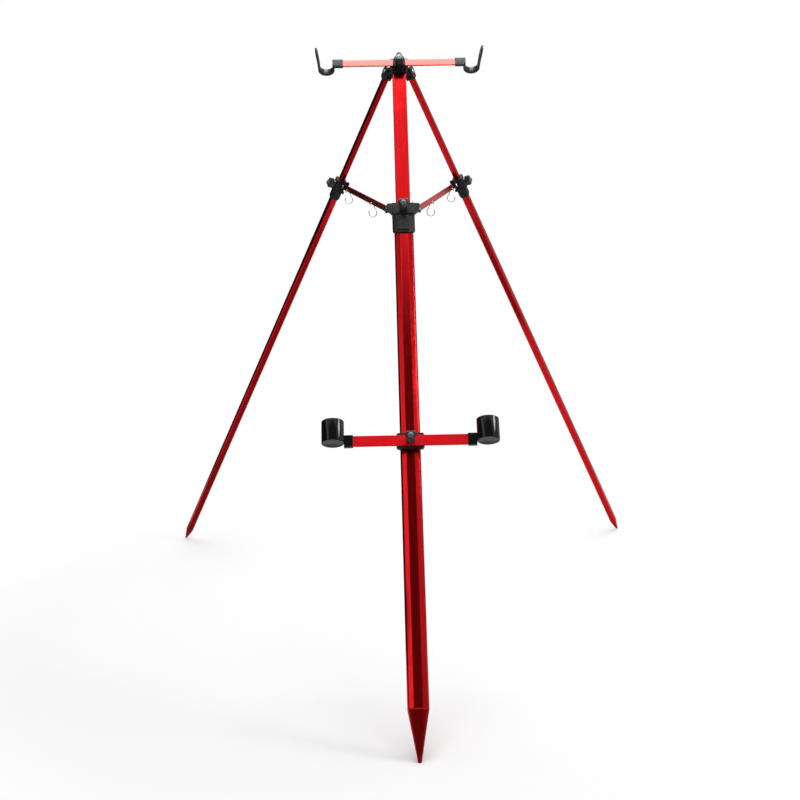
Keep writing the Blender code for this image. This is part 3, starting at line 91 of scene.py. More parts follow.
class Tree:
    """Adds nodes to one shader tree and wires them."""

    def __init__(self, tree: bpy.types.NodeTree) -> None:
        """Keep the node tree of a material, a world or a group."""
        self.tree = tree

    def add(self, kind: str, values: dict | None = None, **settings: object) -> bpy.types.Node:
        """Add one node.

        Args:
            kind: the node's type, without the ShaderNode prefix.
            values: input name or index to a value, or to the socket that feeds it.
            settings: attributes of the node.

        Returns:
            The new node.
        """
        made = self.tree.nodes.new(f"ShaderNode{kind}")
        for key, value in settings.items():
            setattr(made, key, value)
        for key, value in (values or {}).items():
            self.feed(made.inputs[key], value)
        return made

    def feed(self, socket: bpy.types.NodeSocket, value: object) -> None:
        """Link or set one input.

        Args:
            socket: the input.
            value: a number, a tuple or an output socket.
        """
        if isinstance(value, bpy.types.NodeSocket):
            self.tree.links.new(value, socket)
        else:
            socket.default_value = value

    def maths(self, operation: str, *values: object, clamp: bool = False) -> bpy.types.NodeSocket:
        """Return the result of a Math node on the values, kept from 0 to 1 if it is clamped."""
        made = self.add("Math", dict(enumerate(values)), operation=operation, use_clamp=clamp)
        return made.outputs[0]

    def weigh(self, first: object, second: object, share: float) -> bpy.types.NodeSocket:
        """Return two values added, the first weighed by a share and the second by the rest."""
        return self.maths("ADD", self.maths("MULTIPLY", first, share),
                          self.maths("MULTIPLY", second, 1.0 - share))

    def spread(self, value: object, low: float, high: float, to_low: float,
               to_high: float) -> bpy.types.NodeSocket:
        """Map a range to another with soft ends.

        Args:
            value: the socket that is mapped.
            low: its value that gives to_low.
            high: its value that gives to_high.
            to_low: the result at the low end.
            to_high: the result at the high end.

        Returns:
            The mapped socket.
        """
        made = self.add("MapRange", {0: value, 1: low, 2: high, 3: to_low, 4: to_high},
                        interpolation_type="SMOOTHSTEP")
        return made.outputs[0]

    def mix(self, share: object, first: object, second: object) -> bpy.types.NodeSocket:
        """Return a mix of two colours, in which the second shows by a share from 0 to 1."""
        made = self.add("Mix", {0: share, 6: first, 7: second}, data_type="RGBA")
        return made.outputs[2]

    def relief(self, shader: bpy.types.Node, height: object, strength: float, depth: float) -> None:
        """Give a shader the bumps of a height with this strength and depth."""
        bump = self.add("Bump", {"Strength": strength, "Distance": depth, "Height": height})
        self.feed(shader.inputs["Normal"], bump.outputs[0])


@dataclass(frozen=True)
class Socket:
    """One input or output of a shader group."""

    name: str
    kind: str = "NodeSocketFloat"
    start: float | None = None


def new_group(name: str, takes: Sequence[Socket], gives: Sequence[Socket]) -> tuple[
        bpy.types.NodeTree, Tree, bpy.types.Node, bpy.types.Node]:
    """Start a shader group with named sockets.

    Args:
        name: the group's name.
        takes: its inputs.
        gives: its outputs.

    Returns:
        The group, a Tree on it, its input node and its output node.
    """
    group = bpy.data.node_groups.new(name, "ShaderNodeTree")
    for way, sockets in (("INPUT", takes), ("OUTPUT", gives)):
        for item in sockets:
            made = group.interface.new_socket(item.name, in_out=way, socket_type=item.kind)
            if item.start is not None:
                made.default_value = item.start
    tree = Tree(group)
    return group, tree, group.nodes.new("NodeGroupInput"), group.nodes.new("NodeGroupOutput")


@dataclass
class Effects:
    """The shader groups that several finishes share, and the scales of their textures."""

    pits: float = 0.45
    fine_lines: float = 2600.0
    broad_lines: float = 420.0
    smudges: float = 38.0
    scratches: float = 70.0
    hair: float = 0.012
    waver: float = 60.0
    waver_reach: float = 0.004
    chips: float = 160.0

    def __post_init__(self) -> None:
        """Build every group once."""
        self.grain = self._grain()
        self.lines = self._lines()
        self.marks = self._marks()
        self.wear = self._wear_and_glint()

    def _grain(self) -> bpy.types.NodeTree:
        """Make the fine spark texture of a mould.

        Returns:
            A group that gives its height and a mask.
        """
        group, tree, start, end = new_group(
            "mould_grain",
            [Socket("Vector", "NodeSocketVector"), Socket("Scale", start=900.0)],
            [Socket("Height"), Socket("Mask")],
        )
        vector, scale = start.outputs["Vector"], start.outputs["Scale"]
        noise = tree.add("TexNoise", {"Vector": vector, "Scale": scale, "Detail": 3.0, "Roughness": 0.6})
        coarse = tree.maths("MULTIPLY", scale, self.pits)
        cells = tree.add("TexVoronoi", {"Vector": vector, "Scale": coarse, "Randomness": 1.0},
                         feature="SMOOTH_F1")
        pit = tree.spread(cells.outputs["Distance"], 0.1, 0.7, 0.0, 1.0)
        height = tree.weigh(noise.outputs[0], pit, 0.6)
        tree.feed(end.inputs["Height"], height)
        tree.feed(end.inputs["Mask"], tree.spread(height, 0.35, 0.65, 0.0, 1.0))
        return group

    def _lines(self) -> bpy.types.NodeTree:
        """Make the fine lines that a die leaves along an extrusion.

        Returns:
            A group that gives their height, a mask and a tone.
        """
        group, tree, start, end = new_group(
            "die_lines",
            [Socket("Vector", "NodeSocketVector"), Socket("Scale", start=1.0)],
            [Socket("Height"), Socket("Mask"), Socket("Tone")],
        )
        vector, scale = start.outputs["Vector"], start.outputs["Scale"]
        fine = tree.add("TexNoise", {"Vector": vector, "Detail": 2.0, "Roughness": 0.5,
                                     "Scale": tree.maths("MULTIPLY", scale, self.fine_lines)})
        broad = tree.add("TexNoise", {"Vector": vector, "Detail": 3.0, "Roughness": 0.55,
                                      "Scale": tree.maths("MULTIPLY", scale, self.broad_lines)})
        tree.feed(end.inputs["Height"], tree.weigh(fine.outputs[0], broad.outputs[0], 0.55))
        tree.feed(end.inputs["Mask"], tree.spread(fine.outputs[0], 0.35, 0.65, 0.0, 1.0))
        tree.feed(end.inputs["Tone"], tree.spread(broad.outputs[0], 0.3, 0.7, 0.0, 1.0))
        return group

    def _marks(self) -> bpy.types.NodeTree:
        """Make soft smudges of handling and a few hairline scratches.

        Returns:
            A group that gives a mask of each.
        """
        group, tree, start, end = new_group(
            "handling",
            [Socket("Vector", "NodeSocketVector"), Socket("Scale", start=1.0)],
            [Socket("Smudge"), Socket("Scratch")],
        )
        vector, scale = start.outputs["Vector"], start.outputs["Scale"]
        cloud = tree.add("TexNoise", {"Vector": vector, "Detail": 4.0, "Roughness": 0.6, "Distortion": 0.6,
                                      "Scale": tree.maths("MULTIPLY", scale, self.smudges)})
        tree.feed(end.inputs["Smudge"], tree.spread(cloud.outputs[0], 0.46, 0.7, 0.0, 1.0))
        noise = tree.add("TexNoise", {"Vector": vector, "Detail": 2.0,
                                      "Scale": tree.maths("MULTIPLY", scale, self.waver)})
        bend = noise.outputs["Color"]
        shift = tree.add("VectorMath", {0: bend, "Scale": self.waver_reach}, operation="SCALE")
        bent = tree.add("VectorMath", {0: vector, 1: bend, 2: shift.outputs[0]}, operation="MULTIPLY_ADD")
        cells = tree.add("TexVoronoi", {"Vector": bent.outputs[0],
                                        "Scale": tree.maths("MULTIPLY", scale, self.scratches)},
                         feature="DISTANCE_TO_EDGE")
        hair = tree.spread(cells.outputs["Distance"], 0.0, self.hair, 1.0, 0.0)
        patch = tree.spread(cloud.outputs[0], 0.52, 0.62, 0.0, 1.0)
        tree.feed(end.inputs["Scratch"], tree.maths("MULTIPLY", hair, patch))
        return group

    def _wear_and_glint(self) -> bpy.types.NodeTree:
        """Make the broken line of wear along rounded edges, which also serves as a painted edge highlight.

        Returns:
            A group that gives a mask of it.
        """
        group, tree, start, end = new_group(
            "edge_wear_and_glint",
            [Socket("Vector", "NodeSocketVector"), Socket("Edge"), Socket("Amount", start=0.5)],
            [Socket("Mask")],
        )
        noise = tree.add("TexNoise", {"Vector": start.outputs["Vector"], "Scale": self.chips,
                                      "Detail": 4.0, "Roughness": 0.65})
        broken = tree.spread(noise.outputs[0], 0.42, 0.66, 0.0, 1.0)
        strong = tree.maths("MULTIPLY", start.outputs["Edge"], start.outputs["Amount"])
        tree.feed(end.inputs["Mask"], tree.maths("MULTIPLY", strong, broken, clamp=True))
        return group


def new_material(name: str) -> tuple[bpy.types.Material, Tree]:
    """Start a material.

    Args:
        name: its name.

    Returns:
        The material and a Tree on its nodes.
    """
    material = bpy.data.materials.new(name)
    material.use_nodes = True
    return material, Tree(material.node_tree)


@dataclass(frozen=True)
class Finish:
    """What every finish has in common: its slot, its colour and its gloss."""

    name: str
    slot: Slot
    colour: Colour
    roughness: float
    metallic: float

    def start(self) -> tuple[bpy.types.Material, Tree, bpy.types.Node, bpy.types.NodeSocket]:
        """Start the finish's material.

        Returns:
            The material, its tree, its shader and its Object coordinates.
        """
        material, tree = new_material(self.name)
        shader = material.node_tree.nodes["Principled BSDF"]
        shader.inputs["Metallic"].default_value = self.metallic
        return material, tree, shader, tree.add("TexCoord").outputs["Object"]

    def tone(self, share: float) -> tuple[float, float, float, float]:
        """Return the finish's colour made brighter or darker by a share."""
        return (*[min(1.0, part * share) for part in self.colour], 1.0)

    def worn_and_glinting(self, tree: Tree, place: bpy.types.NodeSocket, effects: Effects,
             amount: float) -> bpy.types.NodeSocket:
        """Mark the rounded edges, partly as wear and partly as a painted edge highlight.

        Args:
            tree: the material's tree.
            place: its coordinates.
            effects: the shared groups.
            amount: how strong the wear and the painted edge highlight are.

        Returns:
            The mask of the wear and the painted edge highlight.
        """
        edge = tree.add("Attribute", attribute_name=EDGE_WEAR_AND_GLINT)
        wear = tree.add("Group", {"Vector": place, "Edge": edge.outputs["Fac"], "Amount": amount},
                        node_tree=effects.wear)
        return wear.outputs["Mask"]


@dataclass(frozen=True)
class Extrusion(Finish):
    """Anodised aluminium with lines along the way it was drawn."""

    along: Vector = field(default_factory=lambda: Vector((0.0, 0.0, 1.0)))
    stretch: float = 60.0
    line_depth: float = 0.000012
    line_strength: float = 0.5
    dark_line: float = 0.88
    light_line: float = 1.10
    line_gloss: tuple[float, float] = (0.8, 1.2)
    smudge_tone: float = 0.78
    smudge_share: float = 0.35
    smudge_haze: float = 0.07
    scratch_haze: float = 0.18
    bare_and_glint: Colour = (0.70, 0.30, 0.28)
    edge_wear_and_glint: float = 0.10
    coat: float = 0.0
    coat_roughness: float = 0.1

    def build(self, effects: Effects) -> bpy.types.Material:
        """Build the material.

        Args:
            effects: the shared groups.

        Returns:
            The material.
        """
        material, tree, shader, place = self.start()
        turn = Vector((0.0, 0.0, 1.0)).rotation_difference(self.along).to_euler()
        run = tree.add("Mapping", {"Vector": place, "Rotation": tuple(turn),
                                   "Scale": (1.0, 1.0, self.stretch)}, vector_type="TEXTURE")
        lines = tree.add("Group", {"Vector": run.outputs[0]}, node_tree=effects.lines)
        marks = tree.add("Group", {"Vector": place}, node_tree=effects.marks)
        smudge = marks.outputs["Smudge"]

        lined = tree.mix(lines.outputs["Tone"], self.tone(self.dark_line), self.tone(self.light_line))
        dulled = tree.mix(tree.maths("MULTIPLY", smudge, self.smudge_share), lined,
                          self.tone(self.smudge_tone))
        # Rounded edges turn to the bare metal colour: partly worn anodising, partly a painted edge highlight.
        rubbed_and_glinting = tree.mix(self.worn_and_glinting(tree, place, effects, self.edge_wear_and_glint), dulled, (*self.bare_and_glint, 1.0))
        tree.feed(shader.inputs["Base Color"], rubbed_and_glinting)
        low, high = self.line_gloss
        rough = tree.spread(lines.outputs["Mask"], 0.0, 1.0, self.roughness * low, self.roughness * high)
        hazed = tree.maths("MULTIPLY_ADD", smudge, self.smudge_haze, rough)
        scratched = tree.maths("MULTIPLY_ADD", marks.outputs["Scratch"], self.scratch_haze, hazed)
        tree.feed(shader.inputs["Roughness"], scratched)
        shader.inputs["Coat Weight"].default_value = self.coat
        shader.inputs["Coat Roughness"].default_value = self.coat_roughness
        tree.relief(shader, lines.outputs["Height"], self.line_strength, self.line_depth)
        return material


@dataclass(frozen=True)
class Moulding(Finish):
    """Moulded plastic with the mould's grain, scuff marks, and paler rounded edges that are partly rubbed wear and
    partly a painted edge highlight.
    """

    grain_scale: float = 1100.0
    grain_depth: float = 0.00003
    grain_strength: float = 0.6
    dark_grain: float = 0.82
    light_grain: float = 1.15
    grain_gloss: tuple[float, float] = (0.88, 1.12)
    marks_scale: float = 1.6
    smudge_tone: float = 1.5
    smudge_share: float = 0.3
    smudge_polish: float = 0.25
    scratch_share: float = 0.5
    scuffed_and_glint: Colour = (0.045, 0.045, 0.048)
    edge_wear_and_glint: float = 0.4
    specular: float = 0.35

    def build(self, effects: Effects) -> bpy.types.Material:
        """Build the material.

        Args:
            effects: the shared groups.

        Returns:
            The material.
        """
        material, tree, shader, place = self.start()
        grain = tree.add("Group", {"Vector": place, "Scale": self.grain_scale}, node_tree=effects.grain)
        marks = tree.add("Group", {"Vector": place, "Scale": self.marks_scale}, node_tree=effects.marks)
        smudge, mask = marks.outputs["Smudge"], grain.outputs["Mask"]

        grained = tree.mix(mask, self.tone(self.dark_grain), self.tone(self.light_grain))
        handled = tree.mix(tree.maths("MULTIPLY", smudge, self.smudge_share), grained,
                           self.tone(self.smudge_tone))
        # Rounded edges and scratches turn to the paler scuffed colour. On the edges this is partly wear and partly
        # a painted edge highlight.
        scuff_and_glint_mask = tree.maths("MAXIMUM", self.worn_and_glinting(tree, place, effects, self.edge_wear_and_glint),
                            tree.maths("MULTIPLY", marks.outputs["Scratch"], self.scratch_share))
        tree.feed(shader.inputs["Base Color"], tree.mix(scuff_and_glint_mask, handled, (*self.scuffed_and_glint, 1.0)))
        low, high = self.grain_gloss
        rough = tree.spread(mask, 0.0, 1.0, self.roughness * low, self.roughness * high)
        polish = -self.smudge_polish * self.roughness
        tree.feed(shader.inputs["Roughness"], tree.maths("MULTIPLY_ADD", smudge, polish, rough))
        shader.inputs["Specular IOR Level"].default_value = self.specular
        tree.relief(shader, grain.outputs["Height"], self.grain_strength, self.grain_depth)
        return material


@dataclass(frozen=True)
class Plated(Finish):
    """Plated or drawn metal of small fittings."""

    grain_scale: float = 2400.0
    grain_depth: float = 0.000006
    grain_strength: float = 0.4
    dark_grain: float = 0.92
    light_grain: float = 1.06
    marks_scale: float = 3.0
    tarnish: Colour = (0.42, 0.42, 0.40)
    tarnish_share: float = 0.4
    tarnish_haze: float = 1.7

    def build(self, effects: Effects) -> bpy.types.Material:
        """Build the material.

        Args:
            effects: the shared groups.

        Returns:
            The material.
        """
        material, tree, shader, place = self.start()
        grain = tree.add("Group", {"Vector": place, "Scale": self.grain_scale}, node_tree=effects.grain)
        marks = tree.add("Group", {"Vector": place, "Scale": self.marks_scale}, node_tree=effects.marks)
        smudge = marks.outputs["Smudge"]

        grained = tree.mix(grain.outputs["Mask"], self.tone(self.dark_grain), self.tone(self.light_grain))
        dulled = tree.mix(tree.maths("MULTIPLY", smudge, self.tarnish_share), grained, (*self.tarnish, 1.0))
        tree.feed(shader.inputs["Base Color"], dulled)
        rough = tree.spread(smudge, 0.0, 1.0, self.roughness, self.roughness * self.tarnish_haze)
        tree.feed(shader.inputs["Roughness"], rough)
        tree.relief(shader, grain.outputs["Height"], self.grain_strength, self.grain_depth)
        return material


def joint(name: str) -> dict:
    """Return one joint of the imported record."""
    return next(item for item in frame["joints"] if item["name"] == name)


def pivot(name: str) -> Vector:
    """Return a hinge's place."""
    return Vector(joint(name)["pos_m"])


def axis(name: str) -> Vector:
    """Return a joint's direction."""
    return Vector(joint(name)["axis"]).normalized()


def reach(node: str, origin: Vector, direction: Vector) -> tuple[float, float]:
    """Return how far a solid reaches along a direction, lowest and highest."""
    spans = [(vert.co - origin).dot(direction) for vert in frame["nodes"][node].data.vertices]
    return min(spans), max(spans)


def home(node: str) -> str:
    """Return the body that a solid rides on."""
    bodies = frame["record"]["behaviour"]["bodies"]
    return next(body for body, members in bodies.items() if node in members)


def placed(name: str, bm: bmesh.types.BMesh, material: bpy.types.Material) -> bpy.types.Object:
    """Turn a bmesh into an object of the scene.

    Args:
        name: the name of the object and of its mesh.
        bm: its shape, which is freed.
        material: what it is made of.

    Returns:
        The object.
    """
    mesh = bpy.data.meshes.new(name)
    bm.to_mesh(mesh)
    bm.free()
    mesh.materials.append(material)
    thing = bpy.data.objects.new(name, mesh)
    bpy.context.scene.collection.objects.link(thing)
    return thing


def break_edges(bm: bmesh.types.BMesh, edges: Sequence[bmesh.types.BMEdge], offset: float,
                segments: int) -> None:
    """Round edges off and mark the new faces for the wear and the painted edge highlight.

    Args:
        bm: the mesh.
        edges: its edges that are rounded.
        offset: how far each edge is cut back.
        segments: how many faces each rounded edge has.
    """
    layer = bm.loops.layers.float.new(EDGE_WEAR_AND_GLINT)
    made = bmesh.ops.bevel(bm, geom=edges, offset=offset, affect="EDGES", segments=segments,
                           profile=0.5, material=-1)
    for face in made["faces"]:
        for corner in face.loops:
            corner[layer] = 1.0


@dataclass
class Workshop:
    """Turns bmeshes into dressed pieces on their bodies."""

    finishes: dict[str, bpy.types.Material] = field(default_factory=dict)
    slots: dict[str, Slot] = field(default_factory=dict)

    def stock(self, finish: Finish, effects: Effects) -> None:
        """Build one finish and keep it by name."""
        self.finishes[finish.name] = finish.build(effects)
        self.slots[finish.name] = finish.slot

    def publish(self, name: str, bm: bmesh.types.BMesh, finish: str, node: str,
                weighted: bool = False, stands_for: bool = True) -> None:
        """Turn a bmesh into a piece that rides with a solid's body.

        Args:
            name: the piece's name.
            bm: its shape, in the tripod's frame; it is freed.
            finish: the name of its finish.
            node: the solid it belongs to.
            weighted: keep large faces flat in the shading.
            stands_for: hide the solid, because the piece replaces it.
        """
        piece = placed(name, bm, self.finishes[finish])
        piece.data.shade_smooth()
        piece.data.set_sharp_from_angle(angle=SMOOTH)
        if weighted:
            normals = piece.modifiers.new("flat faces", "WEIGHTED_NORMAL")
            normals.keep_sharp = True
        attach(piece, home(node))
        if stands_for:
            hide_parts(node)
        LOG.info("%s: %d faces, %s", name, len(piece.data.polygons), finish)

    def soften(self, node: str, finish: str, edge: float, sharp: float = radians(25.0),
               segments: int = 2) -> None:
        """Copy a solid, break its sharp edges and dress it, as a piece that replaces it.

        Args:
            node: the solid.
            finish: the name of its finish.
            edge: how far each edge is cut back.
            sharp: edges with a wider angle than this are broken.
            segments: how many faces each broken edge has.
        """
        bm = bmesh.new()
        bm.from_mesh(frame["nodes"][node].data)
        bmesh.ops.remove_doubles(bm, verts=bm.verts, dist=MERGE)
        bmesh.ops.dissolve_limit(bm, angle_limit=FLAT, verts=bm.verts, edges=bm.edges)
        cut = [item for item in bm.edges
               if item.is_manifold and item.calc_face_angle(0.0) > sharp and item.calc_length() > edge]
        break_edges(bm, cut, edge, segments)
        self.publish(f"{node}_dressed", bm, finish, node, weighted=True)

    def paint(self, node: str, finish: str) -> None:
        """Give a solid that stays as it is a better finish.

        Args:
            node: the solid.
            finish: the name of its finish.
        """
        thing = frame["nodes"][node]
        thing.data.materials.clear()
        thing.data.materials.append(self.finishes[finish])


def settle(bm: bmesh.types.BMesh) -> None:
    """Put the points, edges and faces of a mesh in an order that is the same in every run.

    Args:
        bm: the mesh.
    """
    for place, vert in enumerate(sorted(bm.verts, key=lambda item: tuple(item.co))):
        vert.index = place
    for items in (bm.edges, bm.faces):
        ranked = sorted(items, key=lambda item: sorted(vert.index for vert in item.verts))
        for place, item in enumerate(ranked):
            item.index = place
    for items in (bm.verts, bm.edges, bm.faces):
        items.sort()


def turned(centre: Vector, direction: Vector, profile: Sequence[tuple[float, float]],
           steps: int) -> bmesh.types.BMesh:
    """Spin a profile round an axis.

    Args:
        centre: the point that distances are measured from.
        direction: the axis.
        profile: (distance along the axis, radius) from one end to the other.
        steps: how many faces go round.

    Returns:
        The closed shape.
    """
    helper = Vector((1.0, 0.0, 0.0)) if abs(direction.x) < 0.9 else Vector((0.0, 0.0, 1.0))
    side = direction.cross(helper).normalized()
    bm = bmesh.new()
    verts = [bm.verts.new(centre + direction * far + side * radius) for far, radius in profile]
    edges = [bm.edges.new(pair) for pair in zip(verts, verts[1:])]
    bmesh.ops.spin(bm, geom=[*verts, *edges], cent=centre, axis=direction, angle=2.0 * pi,
                   steps=steps, use_merge=True)
    bmesh.ops.remove_doubles(bm, verts=bm.verts, dist=MERGE)
    bmesh.ops.recalc_face_normals(bm, faces=bm.faces)
    settle(bm)
    return bm


def swept(rings: Sequence[Sequence[Vector]]) -> bmesh.types.BMesh:
    """Extrude a ring of points through the rings that follow it and close both ends.

    Args:
        rings: rings of equally many points, from one end to the other.

    Returns:
        The closed shape.
    """
    bm = bmesh.new()
    first = [bm.verts.new(point) for point in rings[0]]
    edges = [bm.edges.new((vert, first[(k + 1) % len(first)])) for k, vert in enumerate(first)]
    verts = first
    for ring in rings[1:]:
        grown = bmesh.ops.extrude_edge_only(bm, edges=edges)
        fresh = {item for item in grown["geom"] if isinstance(item, bmesh.types.BMVert)}
        edges = [item for item in grown["geom"]
                 if isinstance(item, bmesh.types.BMEdge) and set(item.verts) <= fresh]
        verts = [next(edge.other_vert(vert) for edge in vert.link_edges
                      if edge.other_vert(vert) in fresh) for vert in verts]
        for vert, point in zip(verts, ring):
            vert.co = point
    bm.faces.new(first)
    bm.faces.new(list(reversed(verts)))
    bmesh.ops.recalc_face_normals(bm, faces=bm.faces)
    settle(bm)
    return bm


def rounding(centre: tuple[float, float], radius: float, start: float, stop: float,
             steps: int) -> list[tuple[float, float]]:
    """Return the points of an arc in a plane, both ends included."""
    angles = [start + (stop - start) * k / steps for k in range(steps + 1)]
    return [(centre[0] + radius * cos(angle), centre[1] + radius * sin(angle)) for angle in angles]


def tangents(path: Sequence[Vector]) -> list[Vector]:
    """Return the direction of a path at each of its points."""
    last = len(path) - 1
    return [(path[min(k + 1, last)] - path[max(k - 1, 0)]).normalized() for k in range(last + 1)]


@dataclass
class Knob:
    """A clamp knob with three round lobes, a satin cap and its screw."""

    name: str
    outward: Vector
    up: Vector
    cap_finish: str = "cap"
    lobe: float = 0.0048
    lobe_reach: float = 0.0080
    hollow: float = 0.08
    head: float = 0.0120
    edge: float = 0.0016
    skirt_radius: float = 0.0090
    skirt_bore: float = 0.62
    chamfer: float = 0.0005
    cap_radius: float = 0.0062
    cap_seat: float = 0.0010
    cap_gap: float = 0.0003
    cap_groove: float = 0.0009
    cap_sink: float = 0.0001
    rim: float = 0.82
    dome: float = 0.8
    dome_shares: tuple[float, ...] = (1.0, 0.85, 0.7, 0.5, 0.3, 0.0)
    lobe_steps: int = 14
    side_steps: int = 12
    edge_steps: int = 4
    cap_steps: int = 40

    def outline(self) -> list[Vector]:
        """Draw the lobed outline in the knob's plane.

        Returns:
            Its points, as arms from the middle.
        """
        side = self.outward.cross(self.up)
        arcs = []
        for k in range(3):
            angle = 2.0 * pi * k / 3.0
            middle = (self.lobe_reach * cos(angle), self.lobe_reach * sin(angle))
            arcs.append(rounding(middle, self.lobe, angle - pi / 3.0, angle + pi / 3.0, self.lobe_steps))
        points = []
        for k, arc in enumerate(arcs):
            points.extend(arc)
            first, last = Vector(arc[-1]), Vector(arcs[(k + 1) % 3][0])
            for j in range(1, self.side_steps):
                share = j / self.side_steps
                points.append(first.lerp(last, share) * (1.0 - self.hollow * sin(pi * share)))
        return [self.up * x + side * y for x, y in points]

    def build(self, shop: Workshop) -> None:
        """Model and dress the knob, its cap and its screw.

        Args:
            shop: where pieces are dressed.
        """
        centre = pivot(f"{self.name}_turn")
        low, high = reach(self.name, centre, self.outward)
        skirt = high - self.head
        corner = rounding((0.0, 0.0), self.edge, 0.0, pi / 2.0, self.edge_steps)
        under = [(low, self.skirt_radius * self.skirt_bore), (low, self.skirt_radius - self.chamfer),
                 (low + self.chamfer, self.skirt_radius), (skirt, self.skirt_radius - self.edge)]
        lobes = [(skirt + self.edge - b, self.edge - a) for a, b in reversed(corner)]
        lobes += [(high - self.edge + b, self.edge - a) for a, b in corner]
        over = [(high, self.cap_radius + self.cap_groove),
                (high - self.chamfer, self.cap_radius + self.cap_gap),
                (high - self.cap_seat, self.cap_radius + self.cap_gap)]
        rings = [self._round(centre + self.outward * level, radius) for level, radius in under]
        rings += [self._lobed(centre + self.outward * level, cut) for level, cut in lobes]
        rings += [self._round(centre + self.outward * level, radius) for level, radius in over]
        shop.publish(f"{self.name}_dressed", swept(rings), "knob", self.name)
        self._cap(shop, centre, high)
        shop.paint(f"{self.name}_screw", "plated")

    def _round(self, middle: Vector, radius: float) -> list[Vector]:
        """Return a round ring about a point on the axis."""
        return [middle + point.normalized() * radius for point in self.outline()]

    def _lobed(self, middle: Vector, cut: float) -> list[Vector]:
        """Return the outline about a point on the axis, cut back by a distance."""
        return [middle + point * (1.0 - cut / point.length) for point in self.outline()]

    def _cap(self, shop: Workshop, centre: Vector, high: float) -> None:
        """Model and dress the domed cap with its stepped rim.

        Args:
            shop: where pieces are dressed.
            centre: the knob's pivot.
            high: the level of the knob's face.
        """
        _, top = reach(f"{self.name}_cap", centre, self.outward)
        seat = high - self.cap_seat + self.cap_gap
        raised = high + self.cap_gap
        radius = self.cap_radius
        profile = [(seat, 0.0), (seat, radius), (high - self.cap_sink, radius),
                   (raised, radius - self.cap_gap), (raised, radius * self.rim)]
        profile += [(top - (top - high) * share ** 2 * self.dome, radius * self.dome * share)
                    for share in self.dome_shares]
        bm = turned(centre, self.outward, profile, self.cap_steps)
        shop.publish(f"{self.name}_cap_dressed", bm, self.cap_finish, f"{self.name}_cap")


@dataclass
class RodRest:
    """A U-shaped rest with a long splayed outer arm on the top bar's end."""

    side: Side
    centre: float = 0.1616
    radius: float = 0.0160
    strap: float = 0.0046
    width: float = 0.0160
    drop: float = 0.0160
    arm: float = 0.0500
    splay: float = 0.0048
    splay_power: float = 1.5
    lip: float = 0.0030
    corner: float = 0.0014
    corner_share: float = 0.8
    tip_narrowing: float = 0.72
    tip_thinning: float = 0.4
    bend_steps: int = 32
    arm_steps: int = 14
    tip_steps: int = 4
    corner_steps: int = 4

    def path(self, face: float) -> list[Vector]:
        """Lay out the strap's centre line.

        Args:
            face: the level of the bar's front face.

        Returns:
            Its points as (distance from the middle, level), from the bar to the outer arm's tip.
        """
        start = self.centre - self.radius
        bottom = face - self.drop
        points = [(start, face + self.lip), (start, face), (start, bottom)]
        points += rounding((self.centre, bottom), self.radius, pi, 2.0 * pi, self.bend_steps)[1:]
        for k in range(1, self.arm_steps + 1):
            share = k / self.arm_steps
            points.append((self.centre + self.radius + self.splay * share ** self.splay_power,
                           bottom + (self.drop + self.arm) * share))
        return [Vector(point) for point in points]

    def build(self, shop: Workshop) -> None:
        """Model the strap with round edges and a round tip, and dress it.

        Args:
            shop: where pieces are dressed.
        """
        name = f"{self.side.value}_rod_rest"
        origin, out = pivot("top_bar_turn"), axis("top_bar_turn")
        down = axis("front_extension")
        _, face = reach("top_bar", origin, out)
        right = Vector((self.side.sign, 0.0, 0.0))
        path = self.path(face)
        rings = []
        for k, (point, tangent) in enumerate(zip(path, tangents(path))):
            normal = Vector((tangent.y, -tangent.x))
            thick, wide = self.strap / 2.0, self.width / 2.0
            into_tip = self.tip_steps - (len(path) - 1 - k)
            if into_tip > 0:
                shrink = sqrt(1.0 - (into_tip / self.tip_steps) ** 2 * self.tip_narrowing)
                wide *= shrink
                thick *= 1.0 - self.tip_thinning + self.tip_thinning * shrink
            flats = [(point + normal * a, b) for a, b in self._section(thick, wide)]
            rings.append([origin + right * flat.x + out * flat.y + down * b for flat, b in flats])
        shop.publish(f"{name}_strap", swept(rings), "rest", name)

    def _section(self, thick: float, wide: float) -> list[tuple[float, float]]:
        """Draw the strap's section with round corners.

        Args:
            thick: half its thickness.
            wide: half its width.

        Returns:
            Its points as (across the thickness, across the width).
        """
        corner = min(self.corner, thick * self.corner_share)
        points: list[tuple[float, float]] = []
        for quarter, (sx, sy) in enumerate(((1.0, 1.0), (-1.0, 1.0), (-1.0, -1.0), (1.0, -1.0))):
            start = quarter * pi / 2.0
            middle = (sx * (thick - corner), sy * (wide - corner))
            points += rounding(middle, corner, start, start + pi / 2.0, self.corner_steps)
        return points


@dataclass
class BarSocket:
    """The moulded box over a bar's end that carries a rest or a cup."""

    name: str
    node: str
    bar: str
    hinge: str
    side: Side
    near: float
    far: float
    wall: float = 0.0017
    edge: float = 0.0009
    segments: int = 3

    def build(self, shop: Workshop, finish: str) -> None:
        """Model the box round the bar's section and dress it.

        Args:
            shop: where pieces are dressed.
            finish: the name of its finish.
        """
        origin, out = pivot(self.hinge), axis(self.hinge)
        down = axis("front_extension")
        back, face = reach(self.bar, origin, out)
        low, high = reach(self.bar, origin, down)
        right = Vector((self.side.sign, 0.0, 0.0))
        size = (self.far - self.near, face - back + 2.0 * self.wall, high - low + 2.0 * self.wall)
        middle = origin + right * (self.near + self.far) / 2.0
        middle += out * (back + face) / 2.0 + down * (low + high) / 2.0
        bm = bmesh.new()
        bmesh.ops.create_cube(bm, size=1.0)
        bmesh.ops.scale(bm, vec=size, verts=bm.verts)
        break_edges(bm, bm.edges[:], self.edge, self.segments)
        turn = Matrix((right, out, down)).transposed().to_4x4()
        bmesh.ops.transform(bm, matrix=Matrix.Translation(middle) @ turn, verts=bm.verts)
        bmesh.ops.recalc_face_normals(bm, faces=bm.faces)
        shop.publish(self.name, bm, finish, self.node, weighted=True, stands_for=False)


